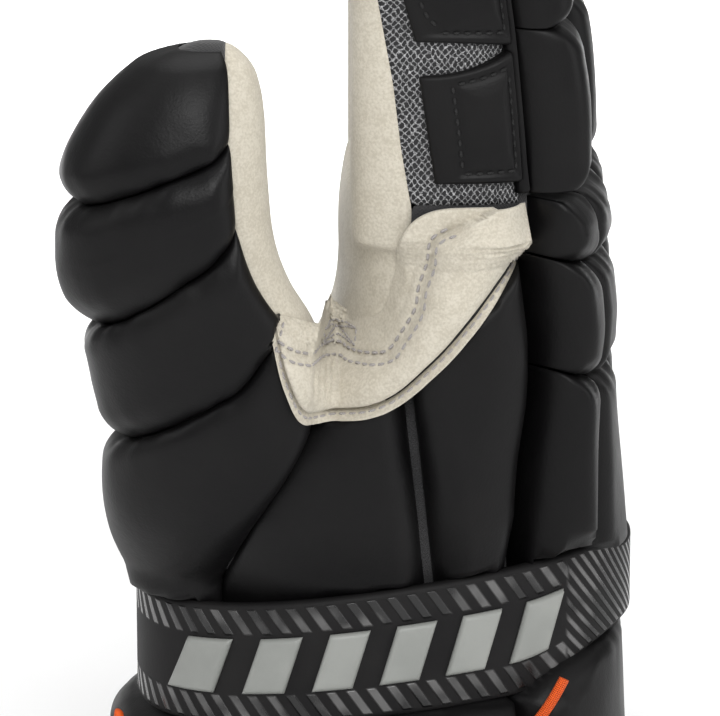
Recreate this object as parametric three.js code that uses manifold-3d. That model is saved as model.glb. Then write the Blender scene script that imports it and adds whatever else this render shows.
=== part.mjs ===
import * as THREE from 'three';
import Module from 'manifold-3d';

const wasm = await Module();
wasm.setup();

// Frame: +Z to the fingertips, -X palm, +X back of the hand, -Y thumb side, +Y little-finger side.
const gloveLength = 330;
const handWidth = 124;
const handDepth = 100;
const fingerPitch = 35;
const fingerWidth = 31;
const fingerDepth = 48;
const thumbDepth = 44;
const thumbWidth = 36;
const skinWall = 2.2;
const seat = 0.3;
const seamGap = 0.3;
const panelGap = 1.2;
const tipCrown = 0.4;
const simplifyLimit = 0.15;
const rollThickness = 17.4;
const thumbPadThickness = 16;
const panelThickness = 10;
const handPadThickness = 22;
const patchThickness = 2.6;
const pipingThickness = 4.2;
const strapWall = 3.5;
const strapHeight = 34;
const strapHalfLong = 0.705 * handDepth;
const strapHalfShort = 0.411 * handWidth;
const strapMidX = 0.066 * handDepth;
const strapMidY = -0.032 * handWidth;
const strapTurnDegrees = 9;
const strapStartDegrees = -184;
const strapEndDegrees = 150;
const strapPower = 2.3;
const strapTaperLow = 11;
const strapTaperHigh = 5;
const webbingThickness = 2;
const barCount = 6;
const barWidth = 11;
const barLean = 5;
const barPitch = 18.4;
const barsMiddle = -10.5;
const barThickness = 1.3;
const cuffPadThickness = 22;
const laceDiameter = 3.2;
const laceDrop = 26;
const laceSpreadDegrees = 12;
const laceSeamDegrees = [-164, -50, 62, 116];
const webThickness = 1.8;
const webLength = 110;
const webLift = 1.2;
const rollHalfDegrees = 36;
const pipingDegrees = 8;
const backEdgeDegrees = 44;
const knuckleEdgeDegrees = 50;
const sideGapDegrees = 2.2;
const heelEdgeDegrees = 118;
const crotchShare = 0.62;
const fingerRootShare = 0.585;
const cuffTopShare = 0.215;
const panelFootShare = 0.218;
const crotchHeight = crotchShare * gloveLength;

// Horizontal sections of the hand: height as a share of gloveLength, back and palm as shares of
// handDepth, thumb side and little-finger side as shares of handWidth.
const handRows = [
  { at: 0.000, back: 0.56, palmThumb: -0.54, palmHeel: -0.52, near: -0.42, far: 0.38, power: 2.3 },
  { at: 0.100, back: 0.54, palmThumb: -0.51, palmHeel: -0.48, near: -0.38, far: 0.325, power: 2.3 },
  { at: 0.190, back: 0.53, palmThumb: -0.51, palmHeel: -0.48, near: -0.37, far: 0.315, power: 2.3 },
  { at: 0.270, back: 0.53, palmThumb: -0.50, palmHeel: -0.46, near: -0.38, far: 0.325, power: 2.3 },
  { at: 0.330, back: 0.51, palmThumb: -0.46, palmHeel: -0.40, near: -0.420, far: 0.365, power: 2.45 },
  { at: 0.400, back: 0.49, palmThumb: -0.36, palmHeel: -0.25, near: -0.460, far: 0.430, power: 2.6 },
  { at: 0.450, back: 0.485, palmThumb: -0.20, palmHeel: -0.11, near: -0.480, far: 0.460, power: 2.75 },
  { at: 0.485, back: 0.48, palmThumb: -0.105, palmHeel: -0.075, near: -0.495, far: 0.480, power: 2.85 },
  { at: 0.510, back: 0.48, palmThumb: -0.072, palmHeel: -0.065, near: -0.505, far: 0.490, power: 2.9 },
  { at: 0.540, back: 0.475, palmThumb: -0.06, palmHeel: -0.062, near: -0.515, far: 0.500, power: 2.9 },
  { at: 0.580, back: 0.47, palmThumb: -0.062, palmHeel: -0.06, near: -0.525, far: 0.510, power: 2.9 },
  { at: 0.620, back: 0.465, palmThumb: -0.040, palmHeel: -0.04, near: -0.535, far: 0.520, power: 2.9 },
];

// Sections of the thumb: height as a share of gloveLength, centre and half depth along X as shares of
// thumbDepth, centre and half width along Y as shares of thumbWidth.
const thumbRows = [
  { at: 0.285, midX: -0.79, midY: -0.66, halfX: 0.46, halfY: 0.50 },
  { at: 0.345, midX: -0.81, midY: -0.98, halfX: 0.52, halfY: 0.58 },
  { at: 0.420, midX: -0.82, midY: -1.28, halfX: 0.56, halfY: 0.60 },
  { at: 0.480, midX: -0.83, midY: -1.46, halfX: 0.62, halfY: 0.58 },
  { at: 0.520, midX: -0.90, midY: -1.58, halfX: 0.61, halfY: 0.56 },
  { at: 0.550, midX: -0.98, midY: -1.65, halfX: 0.56, halfY: 0.53 },
  { at: 0.590, midX: -1.02, midY: -1.71, halfX: 0.50, halfY: 0.51 },
  { at: 0.650, midX: -1.035, midY: -1.78, halfX: 0.475, halfY: 0.48 },
  { at: 0.705, midX: -1.000, midY: -1.80, halfX: 0.420, halfY: 0.43 },
  { at: 0.738, midX: -0.945, midY: -1.80, halfX: 0.300, halfY: 0.32 },
  { at: 0.756, midX: -0.905, midY: -1.80, halfX: 0.120, halfY: 0.13 },
];

// Sections of a finger from its root to its tip: share of the finger's height, back and palm side as
// shares of fingerDepth, half width as a share of fingerWidth.
const fingerRows = [
  { at: 0.00, back: 0.96, palm: -0.055, half: 0.505 },
  { at: 0.15, back: 0.945, palm: -0.055, half: 0.500 },
  { at: 0.45, back: 0.87, palm: -0.055, half: 0.485 },
  { at: 0.70, back: 0.77, palm: -0.060, half: 0.465 },
  { at: 0.86, back: 0.655, palm: -0.040, half: 0.425 },
  { at: 0.95, back: 0.540, palm: 0.030, half: 0.330 },
  { at: 1.00, back: 0.360, palm: 0.170, half: 0.140 },
];

// The four fingers: place across the hand in finger pitches, tip height as a share of gloveLength,
// sideways spread of the tip in pitches, rise toward the back as a share of fingerDepth, and the heights of
// the grooves between the rolls.
const fingers = [
  { name: 'index', at: -1.5, tip: 0.955, spread: -0.14, raise: 0, grooves: [0.632, 0.768, 0.868, 0.944] },
  {
    name: 'middle',
    at: -0.5,
    tip: 0.999,
    spread: -0.04,
    raise: 0.055,
    grooves: [0.636, 0.776, 0.892, 0.99],
  },
  { name: 'ring', at: 0.5, tip: 0.965, spread: 0.06, raise: 0.045, grooves: [0.632, 0.768, 0.874, 0.954] },
  { name: 'little', at: 1.5, tip: 0.880, spread: 0.18, raise: -0.02, grooves: [0.632, 0.735, 0.808, 0.868] },
];

// Front and back seam of the thumb pads: angle from +X at heights as shares of gloveLength.
const thumbSeam = [
  { at: 0.285, angle: 97 },
  { at: 0.345, angle: 77 },
  { at: 0.420, angle: 46 },
  { at: 0.450, angle: 40 },
  { at: 0.500, angle: 52 },
  { at: 0.530, angle: 50 },
  { at: 0.570, angle: 57 },
  { at: 0.620, angle: 62.5 },
  { at: 0.760, angle: 66 },
];

// Grooves of the thumb: height at the outer side and at the inner side, as shares of gloveLength.
const thumbGrooves = [
  { outer: panelFootShare, inner: panelFootShare },
  { outer: 0.415, inner: 0.535 },
  { outer: 0.520, inner: 0.620 },
  { outer: 0.625, inner: 0.685 },
  { outer: 0.752, inner: 0.752 },
];

// Outline of the web leather: free edge and sewn edge along its length, X as shares of handDepth, heights
// as shares of gloveLength, and how far the free edge stands off as a share of panelThickness.
const webRows = [
  { at: 0.00, freeX: -0.235, freeZ: 0.518, sewnX: -0.215, sewnZ: 0.536, lift: 0.15 },
  { at: 0.12, freeX: -0.200, freeZ: 0.475, sewnX: -0.150, sewnZ: 0.527, lift: 0.45 },
  { at: 0.24, freeX: -0.145, freeZ: 0.443, sewnX: -0.080, sewnZ: 0.519, lift: 0.65 },
  { at: 0.36, freeX: -0.030, freeZ: 0.442, sewnX: -0.010, sewnZ: 0.517, lift: 0.70 },
  { at: 0.50, freeX: 0.090, freeZ: 0.455, sewnX: 0.060, sewnZ: 0.53, lift: 0.70 },
  { at: 0.64, freeX: 0.210, freeZ: 0.487, sewnX: 0.092, sewnZ: 0.562, lift: 0.70 },
  { at: 0.78, freeX: 0.305, freeZ: 0.520, sewnX: 0.112, sewnZ: 0.6, lift: 0.65 },
  { at: 0.90, freeX: 0.400, freeZ: 0.556, sewnX: 0.190, sewnZ: 0.6205, lift: 0.55 },
  { at: 1.00, freeX: 0.465, freeZ: 0.592, sewnX: 0.400, sewnZ: 0.6225, lift: 0.50 },
];

// How thick the thumb pads are along the thumb, as shares of thumbPadThickness.
const thumbLift = [
  { at: 0.218, lift: 0.40 },
  { at: 0.270, lift: 0.62 },
  { at: 0.320, lift: 0.76 },
  { at: 0.380, lift: 0.74 },
  { at: 0.450, lift: 0.62 },
  { at: 0.520, lift: 0.66 },
  { at: 0.575, lift: 0.88 },
  { at: 0.650, lift: 0.88 },
  { at: 0.700, lift: 0.55 },
  { at: 0.735, lift: 0.37 },
  { at: 0.756, lift: 0.40 },
];

// Rows of pads on the back: low and high edge and how far each sinks toward the middle of the back, as
// shares of gloveLength, thickness as a share of handPadThickness, and edge thickness as a share of that.
const backRows = [
  { name: 'knuckle_pad', low: 0.578, high: 0.627, sinkLow: 0.022, sinkHigh: 0.012, thick: 1, rim: 0.35 },
  { name: 'hand_pad', low: 0.478, high: 0.577, sinkLow: 0.022, sinkHigh: 0.022, thick: 1.05, rim: 0.3 },
  { name: 'wrist_pad', low: 0.218, high: 0.477, sinkLow: 0, sinkHigh: 0.022, thick: 1.08, rim: 0.3 },
];

// Patches on the thumb side of the index finger: X of the front edge at its foot and top as shares of
// fingerDepth, heights of the front and back corners as shares of gloveLength.
const patchRows = [
  { name: 'index_patch_lower', footX: 0.417, topX: 0.333, low: [0.642, 0.642], high: [0.73, 0.75] },
  { name: 'index_patch_upper', footX: 0.312, topX: 0.198, low: [0.759, 0.755], high: [0.824, 0.835] },
  { name: 'index_patch_tip', footX: 0.198, topX: 0.198, low: [0.838, 0.849], high: [0.897, 0.903] },
];

// Panels of the little-finger side: low and high edge as shares of gloveLength.
const heelRows = [
  { name: 'heel_panel_lower', low: panelFootShare, high: 0.42 },
  { name: 'heel_panel_upper', low: 0.421, high: 0.6 },
];

// Padded pieces of the cuff and the angles that they run between.
const cuffPieces = [
  { name: 'cuff_pad_back', from: -52, to: 52 },
  { name: 'cuff_pad_heel', from: 52, to: 128 },
  { name: 'cuff_pad_palm', from: 128, to: 232 },
  { name: 'cuff_pad_front', from: 232, to: 308 },
];

// Seams of the skin, seen from the thumb side: X as shares of handDepth at heights as shares of gloveLength.
const leatherSeam = [
  { at: -0.03, x: 0.11 },
  { at: 0.5, x: 0.11 },
  { at: 0.618, x: 0.138 },
  { at: 0.67, x: 0.109 },
  { at: 0.724, x: 0.087 },
  { at: 0.797, x: 0.043 },
  { at: 1.061, x: 0.035 },
];
const meshSeam = [
  { at: 0.621, x: 0.425 },
  { at: 0.682, x: 0.405 },
  { at: 0.782, x: 0.365 },
  { at: 0.879, x: 0.315 },
  { at: 1.061, x: 0.27 },
];
const thumbBackSeam = [
  { at: 0.34, x: -0.24 },
  { at: 0.455, x: -0.17 },
  { at: 0.53, x: -0.227 },
  { at: 0.57, x: -0.3 },
  { at: 0.63, x: -0.353 },
  { at: 0.794, x: -0.356 },
];

const materials = {
  leather: { color: 0xcfc8b6, roughness: 0.85, metalness: 0 },
  padding: { color: 0x1e1d1f, roughness: 0.5, metalness: 0 },
  lining: { color: 0x262528, roughness: 0.9, metalness: 0 },
  mesh: { color: 0x77777b, roughness: 0.9, metalness: 0 },
  rubber: { color: 0x2a292a, roughness: 0.55, metalness: 0 },
  bar: { color: 0xa9aca6, roughness: 0.5, metalness: 0 },
  webbing: { color: 0x5b564f, roughness: 0.95, metalness: 0 },
  lace: { color: 0xff6a1a, roughness: 0.8, metalness: 0 },
};

const group = new THREE.Group();
group.name = 'lacrosse_glove';

const mix = (a, b, share) => a + (b - a) * share;
const radians = (degrees) => (degrees * Math.PI) / 180;
const clamp = (value, low, high) => Math.min(high, Math.max(low, value));

function readTable(rows, at) {
  const place = clamp(at, rows[0].at, rows[rows.length - 1].at);
  let index = 0;
  while (index < rows.length - 2 && place > rows[index + 1].at) {
    index += 1;
  }
  const before = rows[Math.max(index - 1, 0)];
  const from = rows[index];
  const to = rows[index + 1];
  const after = rows[Math.min(index + 2, rows.length - 1)];
  const span = to.at - from.at;
  const share = (place - from.at) / span;
  const result = {};
  for (const key of Object.keys(from)) {
    if (typeof from[key] !== 'number') {
      continue;
    }
    const slopeFrom = ((to[key] - before[key]) / Math.max(to.at - before.at, 1e-9)) * span;
    const slopeTo = ((after[key] - from[key]) / Math.max(after.at - from.at, 1e-9)) * span;
    const a = 2 * share ** 3 - 3 * share ** 2 + 1;
    const b = share ** 3 - 2 * share ** 2 + share;
    const c = -2 * share ** 3 + 3 * share ** 2;
    const d = share ** 3 - share ** 2;
    result[key] = a * from[key] + b * slopeFrom + c * to[key] + d * slopeTo;
  }
  return result;
}

function eased(value) {
  const share = clamp(value, 0, 1);
  return share * share * (3 - 2 * share);
}

function rounded(value, power) {
  return Math.sign(value) * Math.abs(value) ** (2 / power);
}

// A limb gives, for a height, the middle and half sizes of its section.
function handSection(z) {
  const row = readTable(handRows, z / gloveLength);
  const back = row.back * handDepth;
  const heel = row.palmHeel * handDepth;
  const thumbSide = row.palmThumb * handDepth;
  const near = row.near * handWidth;
  const far = row.far * handWidth;
  return {
    midX: (back + heel) / 2,
    midY: (near + far) / 2,
    halfBack: (back - heel) / 2,
    halfPalm: (back - heel) / 2,
    thumbExtra: heel - thumbSide,
    halfY: (far - near) / 2,
    power: row.power,
    sideShare: 1,
  };
}

function thumbSection(z) {
  const row = readTable(thumbRows, z / gloveLength);
  return {
    midX: row.midX * thumbDepth,
    midY: row.midY * thumbWidth,
    halfBack: row.halfX * thumbDepth,
    halfPalm: row.halfX * thumbDepth,
    thumbExtra: 0,
    halfY: row.halfY * thumbWidth,
    power: 2.3,
    sideShare: 0.6,
  };
}

const fingerRoot = fingerRootShare * gloveLength;

function fingerSection(finger) {
  return (z) => {
    const share = (z - fingerRoot) / (finger.tip * gloveLength - fingerRoot);
    const row = readTable(fingerRows, share);
    const back = row.back * fingerDepth;
    const palm = row.palm * fingerDepth;
    return {
      midX: (back + palm) / 2 + finger.raise * fingerDepth,
      midY: (finger.at + finger.spread * clamp(share, 0, 1)) * fingerPitch,
      halfBack: (back - palm) / 2,
      halfPalm: (back - palm) / 2,
      thumbExtra: 0,
      halfY: row.half * fingerWidth,
      power: 3.2,
      sideShare: 0.65,
    };
  };
}

// Point at an angle round a limb (0 is +X, -90 the thumb side), at a height, lifted off its surface.
function limbPoint(section, degrees, z, lift) {
  const s = section(z);
  const c = rounded(Math.cos(radians(degrees)), s.power);
  const n = rounded(Math.sin(radians(degrees)), s.power);
  const half = c > 0 ? s.halfBack : s.halfPalm + (s.thumbExtra * (1 - n)) / 2;
  return new THREE.Vector3(s.midX + (half + lift) * c, s.midY + (s.halfY + lift * s.sideShare) * n, z);
}

// Angle at which a limb's thumb-side face has a given X.
function frontAngle(section, x, z) {
  const s = section(z);
  const half = x > s.midX ? s.halfBack : s.halfPalm + s.thumbExtra;
  const share = clamp((x - s.midX) / half, -0.999, 0.999);
  const cosine = Math.sign(share) * Math.abs(share) ** (s.power / 2);
  return (-Math.acos(cosine) * 180) / Math.PI;
}

// Angle at which a limb has a given Y on its back half.
function backAngle(section, y, z) {
  const s = section(z);
  const share = clamp((y - s.midY) / s.halfY, -0.999, 0.999);
  const sine = Math.sign(share) * Math.abs(share) ** (s.power / 2);
  return (Math.asin(sine) * 180) / Math.PI;
}

// Solids are built as manifolds from rings or grids of points.
function toSolid(points, triangles) {
  const properties = new Float32Array(points.length * 3);
  points.forEach((p, index) => properties.set([p.x, p.y, p.z], index * 3));
  const mesh = new wasm.Mesh({
    numProp: 3,
    vertProperties: properties,
    triVerts: new Uint32Array(triangles.flat()),
  });
  mesh.merge();
  return new wasm.Manifold(mesh);
}

// The same, with the faces turned round where they point in.
function toOutwardSolid(points, triangles) {
  const solid = toSolid(points, triangles);
  return solid.volume() < 0 ? toSolid(points, triangles.map(([a, b, c]) => [a, c, b])) : solid;
}

function loft(section, heights, around, lift) {
  const points = [];
  const triangles = [];
  for (const z of heights) {
    for (let i = 0; i < around; i += 1) {
      points.push(limbPoint(section, (360 * i) / around, z, lift));
    }
  }
  for (let j = 0; j < heights.length - 1; j += 1) {
    for (let i = 0; i < around; i += 1) {
      const a = j * around + i;
      const b = j * around + ((i + 1) % around);
      triangles.push([a, b, b + around], [a, b + around, a + around]);
    }
  }
  const bottom = points.length;
  const first = section(heights[0]);
  points.push(new THREE.Vector3(first.midX, first.midY, heights[0]));
  const top = points.length;
  const end = heights[heights.length - 1];
  const last = section(end);
  points.push(new THREE.Vector3(last.midX, last.midY, end + tipCrown + Math.max(lift, -1)));
  const upper = (heights.length - 1) * around;
  for (let i = 0; i < around; i += 1) {
    const next = (i + 1) % around;
    triangles.push([bottom, next, i], [top, upper + i, upper + next]);
  }
  return toSolid(points, triangles);
}

// Closed patch between an outer and an inner sheet of points, both functions of two shares.
function patch(outer, inner, across, along) {
  const points = [];
  const triangles = [];
  const wide = across.length;
  const sheets = [outer, inner];
  for (const sheet of sheets) {
    for (const v of along) {
      for (const u of across) {
        points.push(sheet(u, v));
      }
    }
  }
  const size = wide * along.length;
  for (let j = 0; j < along.length - 1; j += 1) {
    for (let i = 0; i < wide - 1; i += 1) {
      const a = j * wide + i;
      triangles.push([a, a + 1, a + wide + 1], [a, a + wide + 1, a + wide]);
      const b = a + size;
      triangles.push([b, b + wide + 1, b + 1], [b, b + wide, b + wide + 1]);
    }
  }
  const wall = (a, b, turned) => {
    if (turned) {
      triangles.push([a, b + size, a + size], [a, b, b + size]);
    } else {
      triangles.push([a, a + size, b + size], [a, b + size, b]);
    }
  };
  const last = (along.length - 1) * wide;
  for (let i = 0; i < wide - 1; i += 1) {
    wall(i, i + 1, false);
    wall(last + i, last + i + 1, true);
  }
  for (let j = 0; j < along.length - 1; j += 1) {
    wall(j * wide + wide - 1, (j + 1) * wide + wide - 1, false);
    wall(j * wide, (j + 1) * wide, true);
  }
  return toOutwardSolid(points, triangles);
}

// Prism with an outline in X and Z, running along Y.
function prism(corners, fromY, toY) {
  const turn = THREE.ShapeUtils.area(corners.map(([x, z]) => new THREE.Vector2(x, z)));
  const outline = turn < 0 ? [...corners].reverse() : corners;
  const points = [];
  for (const y of [fromY, toY]) {
    for (const [x, z] of outline) {
      points.push(new THREE.Vector3(x, y, z));
    }
  }
  const count = outline.length;
  const flat = outline.map(([x, z]) => new THREE.Vector2(x, z));
  const faces = THREE.ShapeUtils.triangulateShape(flat, []);
  const triangles = [];
  for (const [a, b, c] of faces) {
    triangles.push([a, b, c], [a + count, c + count, b + count]);
  }
  for (let i = 0; i < count; i += 1) {
    const next = (i + 1) % count;
    triangles.push([i, i + count, next + count], [i, next + count, next]);
  }
  return toOutwardSolid(points, triangles);
}

// Cuts a solid clear of its neighbour, with the seam gap all round.
function clearOf(solid, neighbour) {
  let result = solid.subtract(neighbour);
  for (const [x, y, z] of [[1, 0, 0], [-1, 0, 0], [0, 1, 0], [0, -1, 0], [0, 0, 1], [0, 0, -1]]) {
    result = result.subtract(neighbour.translate([x * seamGap, y * seamGap, z * seamGap]));
  }
  return result;
}

// Keeps only the largest body of a solid, so that no chip is left by a cut.
function largestBody(solid) {
  const bodies = solid.decompose();
  let best = bodies[0];
  for (const body of bodies) {
    if (Math.abs(body.volume()) > Math.abs(best.volume())) {
      best = body;
    }
  }
  return best;
}

function addNode(name, solid, material) {
  const body = largestBody(solid.simplify(simplifyLimit));
  const data = body.getMesh();
  const geometry = new THREE.BufferGeometry();
  const positions = new Float32Array(data.numVert * 3);
  for (let i = 0; i < data.numVert; i += 1) {
    for (let k = 0; k < 3; k += 1) {
      positions[i * 3 + k] = data.vertProperties[i * data.numProp + k];
    }
  }
  geometry.setAttribute('position', new THREE.BufferAttribute(positions, 3));
  geometry.setIndex(Array.from(data.triVerts));
  const mesh = new THREE.Mesh(geometry, new THREE.MeshStandardMaterial(materials[material]));
  mesh.name = name;
  group.add(mesh);
  return body;
}

const steps = (from, to, count) => Array.from({ length: count + 1 }, (_, i) => mix(from, to, i / count));

// Core of the glove: hand, fingers and thumb joined, solid.
const handHeights = [0.0, 0.1, 0.18, 0.27, 0.33, 0.39, 0.445, 0.485, 0.515, 0.545, 0.58, 0.62];
const fingerSections = fingers.map((finger) => fingerSection(finger));

function core(lift, bottomDrop, topDrop) {
  const heights = handHeights.map((share) => share * gloveLength);
  heights[0] -= bottomDrop;
  heights[heights.length - 1] -= topDrop;
  let solid = loft(handSection, heights, 24, lift);
  fingers.forEach((finger, index) => {
    const root = fingerRoot - Math.max(topDrop, 0);
    const tip = finger.tip * gloveLength;
    const shares = [0, 0.3, 0.6, 0.82, 0.93, 1];
    const tops = shares.map((share) => mix(root, tip + lift * 0.7, share));
    solid = solid.add(loft(fingerSections[index], tops, 12, lift));
  });
  const thumbShares = [0.29, 0.36, 0.43, 0.49, 0.55, 0.61, 0.67, 0.72, 0.745, 0.756];
  const thumbTops = thumbShares.map((share) => share * gloveLength);
  thumbTops[thumbTops.length - 1] += lift * 0.7;
  return solid.add(loft(thumbSection, thumbTops, 14, lift));
}

const coreOuter = core(0, 0, 0);
const coreGrown = core(seat, 1, -seat);
const coreInner = core(-skinWall, 1, skinWall);
const skin = coreOuter.subtract(coreInner);

// Wrist strap: an oval ring, higher on the back of the hand.
function strapPoint(degrees, share, outward) {
  const c = rounded(Math.cos(radians(degrees)), strapPower);
  const s = rounded(Math.sin(radians(degrees)), strapPower);
  const turnC = Math.cos(radians(strapTurnDegrees));
  const turnS = Math.sin(radians(strapTurnDegrees));
  const long = (strapHalfLong + outward) * c;
  const short = (strapHalfShort + outward) * s;
  const faceX = strapMidX + strapHalfLong * c * turnC - strapHalfShort * s * turnS;
  const rise = faceX + 0.54 * handDepth;
  const raised = strapTaperLow * eased((faceX - 0.42 * handDepth) / (0.35 * handDepth));
  const fall = strapTaperHigh * eased((faceX - 0.64 * handDepth) / (0.13 * handDepth));
  const top = 0.262 * gloveLength + 0.115 * rise - fall;
  const bottom = 0.26 * gloveLength - strapHeight + 0.09 * rise + raised;
  const x = strapMidX + long * turnC - short * turnS;
  const y = strapMidY + long * turnS + short * turnC;
  return new THREE.Vector3(x, y, mix(bottom, top, share));
}

function strapPiece(fromDegrees, toDegrees, low, high, inside, outside, count) {
  const outer = (u, v) => strapPoint(mix(fromDegrees, toDegrees, u), mix(low, high, v), outside);
  const inner = (u, v) => strapPoint(mix(fromDegrees, toDegrees, u), mix(low, high, v), inside);
  return patch(outer, inner, steps(0, 1, count), [0, 0.5, 1]);
}

// Ring with the strap's outline, all the way round.
function ring(low, high, inside, outside, count) {
  const points = [];
  const triangles = [];
  const corners = [[inside, low], [outside, low], [outside, high], [inside, high]];
  for (let i = 0; i < count; i += 1) {
    for (const [lift, share] of corners) {
      points.push(strapPoint((360 * i) / count, share, lift));
    }
  }
  for (let i = 0; i < count; i += 1) {
    const a = i * 4;
    const b = ((i + 1) % count) * 4;
    for (let k = 0; k < 4; k += 1) {
      const m = (k + 1) % 4;
      triangles.push([a + k, b + k, b + m], [a + k, b + m, a + m]);
    }
  }
  return toOutwardSolid(points, triangles);
}

const strapRoom = ring(-0.012, 1.012, -strapWall - seat, 0.3 * handDepth, 44);

// Nearest Y of the hand, the thumb and the index finger, seen from the thumb side.
function frontY(x, z) {
  let nearest = 1e3;
  for (const section of [handSection, thumbSection, fingerSections[0]]) {
    const s = section(z);
    const half = x > s.midX ? s.halfBack : s.halfPalm + s.thumbExtra;
    const offset = Math.abs((x - s.midX) / half);
    const onBack = x > 0.2 * handDepth && section !== thumbSection;
    const share = onBack ? Math.min(offset, 0.95) : offset;
    if (section === fingerSections[0] && z < fingerRoot) {
      continue;
    }
    if (share < 1) {
      nearest = Math.min(nearest, s.midY - s.halfY * (1 - share ** s.power) ** (1 / s.power));
    }
  }
  return nearest;
}

// The same, averaged over a few millimetres.
function smoothFrontY(x, z) {
  let sum = 0;
  let count = 0;
  for (let i = -2; i <= 2; i += 1) {
    for (let j = -2; j <= 2; j += 1) {
      const y = frontY(x + i * 1.6, z + j * 1.6);
      if (y < 500) {
        sum += y;
        count += 1;
      }
    }
  }
  return count ? sum / count : -0.32 * handWidth;
}

// Web leather, laid over the panels' upper edges and the root of the index finger.
function webPoint(u, v, lift) {
  const inside = clamp(u, 0, 1);
  const row = readTable(webRows, inside);
  const x = mix(row.freeX, row.sewnX, v) * handDepth;
  const z = mix(row.freeZ, row.sewnZ, v) * gloveLength;
  const raise = row.lift * panelThickness * Math.max(1 - v / 0.7, 0) ** 0.7;
  const past = (u - inside) * webLength;
  return new THREE.Vector3(x + past, smoothFrontY(x, z) - raise - lift, z + past * 0.3);
}

function webSheet(growEnds, growFaces) {
  const across = steps(0, 1, 14);
  const along = [0, 0.15, 0.35, 0.65, 1];
  if (growEnds > 0) {
    across.unshift(-growEnds);
    across.push(1 + growEnds);
    along.unshift(-growEnds * 2);
    along.push(1 + growEnds * 2);
  }
  const outer = (u, v) => webPoint(u, v, webLift + webThickness + growFaces);
  const inner = (u, v) => webPoint(u, v, webLift - growFaces);
  return patch(outer, inner, across, along);
}

const webSolid = webSheet(0, 0).subtract(coreGrown);
const webRoom = webSheet(0.02, seat);

// Cushion on a limb: pillow profile between two angles and two heights.
const gridWide = [0, 0.06, 0.2, 0.5, 0.8, 0.94, 1];
const gridShort = [0, 0.08, 0.28, 0.72, 0.92, 1];

function pillow(share, power) {
  return Math.max(1 - Math.abs(2 * share - 1) ** power, 0) ** (1 / power);
}

function cushion(section, spec) {
  const rim = spec.rim ?? 0.3;
  const outer = (u, v) => {
    const low = spec.low(u);
    const high = spec.high(u);
    const z = mix(low, high, v);
    const angle = mix(spec.from(z), spec.to(z), u);
    const profile = mix(rim, 1, pillow(u, 3.2) * pillow(v, 3.2));
    return limbPoint(section, angle, z, spec.thick(u, z) * profile);
  };
  const inner = (u, v) => {
    const z = mix(spec.low(u), spec.high(u), v);
    const angle = mix(spec.from(z), spec.to(z), u);
    return limbPoint(section, angle, z, -spec.depth);
  };
  return patch(outer, inner, spec.across ?? gridWide, spec.along ?? gridShort)
    .subtract(coreGrown)
    .subtract(strapRoom)
    .subtract(webRoom);
}

// Rolls on the backs of the fingers, thinner toward the tip.
fingers.forEach((finger, index) => {
  for (let roll = 0; roll < 3; roll += 1) {
    const low = finger.grooves[roll] * gloveLength + seamGap / 2;
    const high = finger.grooves[roll + 1] * gloveLength - seamGap / 2;
    const fade = roll === 2 ? 0.82 : 1;
    const thin = (z) => mix(1, 0.8, (clamp((z - low) / (high - low), 0, 1) * roll) / 2);
    const solid = cushion(fingerSections[index], {
      from: () => -rollHalfDegrees,
      to: () => rollHalfDegrees,
      low: () => low,
      high: () => high,
      thick: (u, z) => rollThickness * fade * thin(z),
      depth: 6,
    });
    addNode(`${finger.name}_roll_${roll + 1}`, solid, 'padding');
  }
});

// Angle of the edge between the back pads and the side panels, wider at the knuckles.
function backEdge(z) {
  return mix(backEdgeDegrees, knuckleEdgeDegrees, clamp((z / gloveLength - 0.48) / 0.11, 0, 1));
}

// Rows of pads on the back of the hand. Grooves sink toward the middle of the back.
const backColumns = [-1, -0.5, 0, 0.5, 1];

for (const row of backRows) {
  for (let column = 0; column < backColumns.length - 1; column += 1) {
    const edge = (share, z, side) => {
      if (Math.abs(share) === 1) {
        return share * backEdge(z);
      }
      const across = handSection(z);
      return backAngle(handSection, across.midY + share * 1.08 * across.halfY + side * seamGap, z);
    };
    const dip = (u, sink) => {
      const place = mix(backColumns[column], backColumns[column + 1], u);
      return sink * gloveLength * Math.max(1 - place * place, 0);
    };
    const solid = cushion(handSection, {
      from: (z) => edge(backColumns[column], z, 1),
      to: (z) => edge(backColumns[column + 1], z, -1),
      low: (u) => row.low * gloveLength - dip(u, row.sinkLow) + seamGap / 2,
      high: (u) => row.high * gloveLength - dip(u, row.sinkHigh) - seamGap / 2,
      thick: () => handPadThickness * row.thick,
      depth: 6,
      rim: row.rim,
    });
    addNode(`${row.name}_${column + 1}`, solid, 'padding');
  }
}

// Line of the seam between the thumb base and the front side panel, as X at a height.
function baseSeam(z) {
  return handDepth * mix(-0.38, -0.13, clamp((z / gloveLength - 0.288) / 0.167, -0.3, 1.2));
}

// Thumb pads, wrapped round the outer side of the thumb.
function thumbAngle(z) {
  return readTable(thumbSeam, z / gloveLength).angle;
}

const thumbPadNames = ['thumb_pad_base', 'thumb_pad_lower', 'thumb_pad_upper', 'thumb_pad_tip'];
const thumbSolids = thumbPadNames.map((name, index) => {
  const edge = (place, u) => mix(place.inner, place.outer, Math.sin(Math.PI * u) ** 0.8) * gloveLength;
  const low = (u) => edge(thumbGrooves[index], u) + seamGap / 2;
  const high = (u) => edge(thumbGrooves[index + 1], u) - seamGap / 2;
  return cushion(thumbSection, {
    from: (z) => -thumbAngle(z),
    to: (z) => -360 + thumbAngle(z),
    low,
    high,
    thick: (u, z) => thumbPadThickness * readTable(thumbLift, z / gloveLength).lift,
    rim: 0.26,
    depth: 7,
    across: [0, 0.04, 0.14, 0.3, 0.5, 0.7, 0.86, 0.96, 1],
  });
});

// Side panels of the thumb side of the hand.
function panelEdge(z) {
  return handDepth * mix(0.185, 0.135, clamp((z / gloveLength - 0.297) / 0.152, -0.3, 1.3));
}

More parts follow.
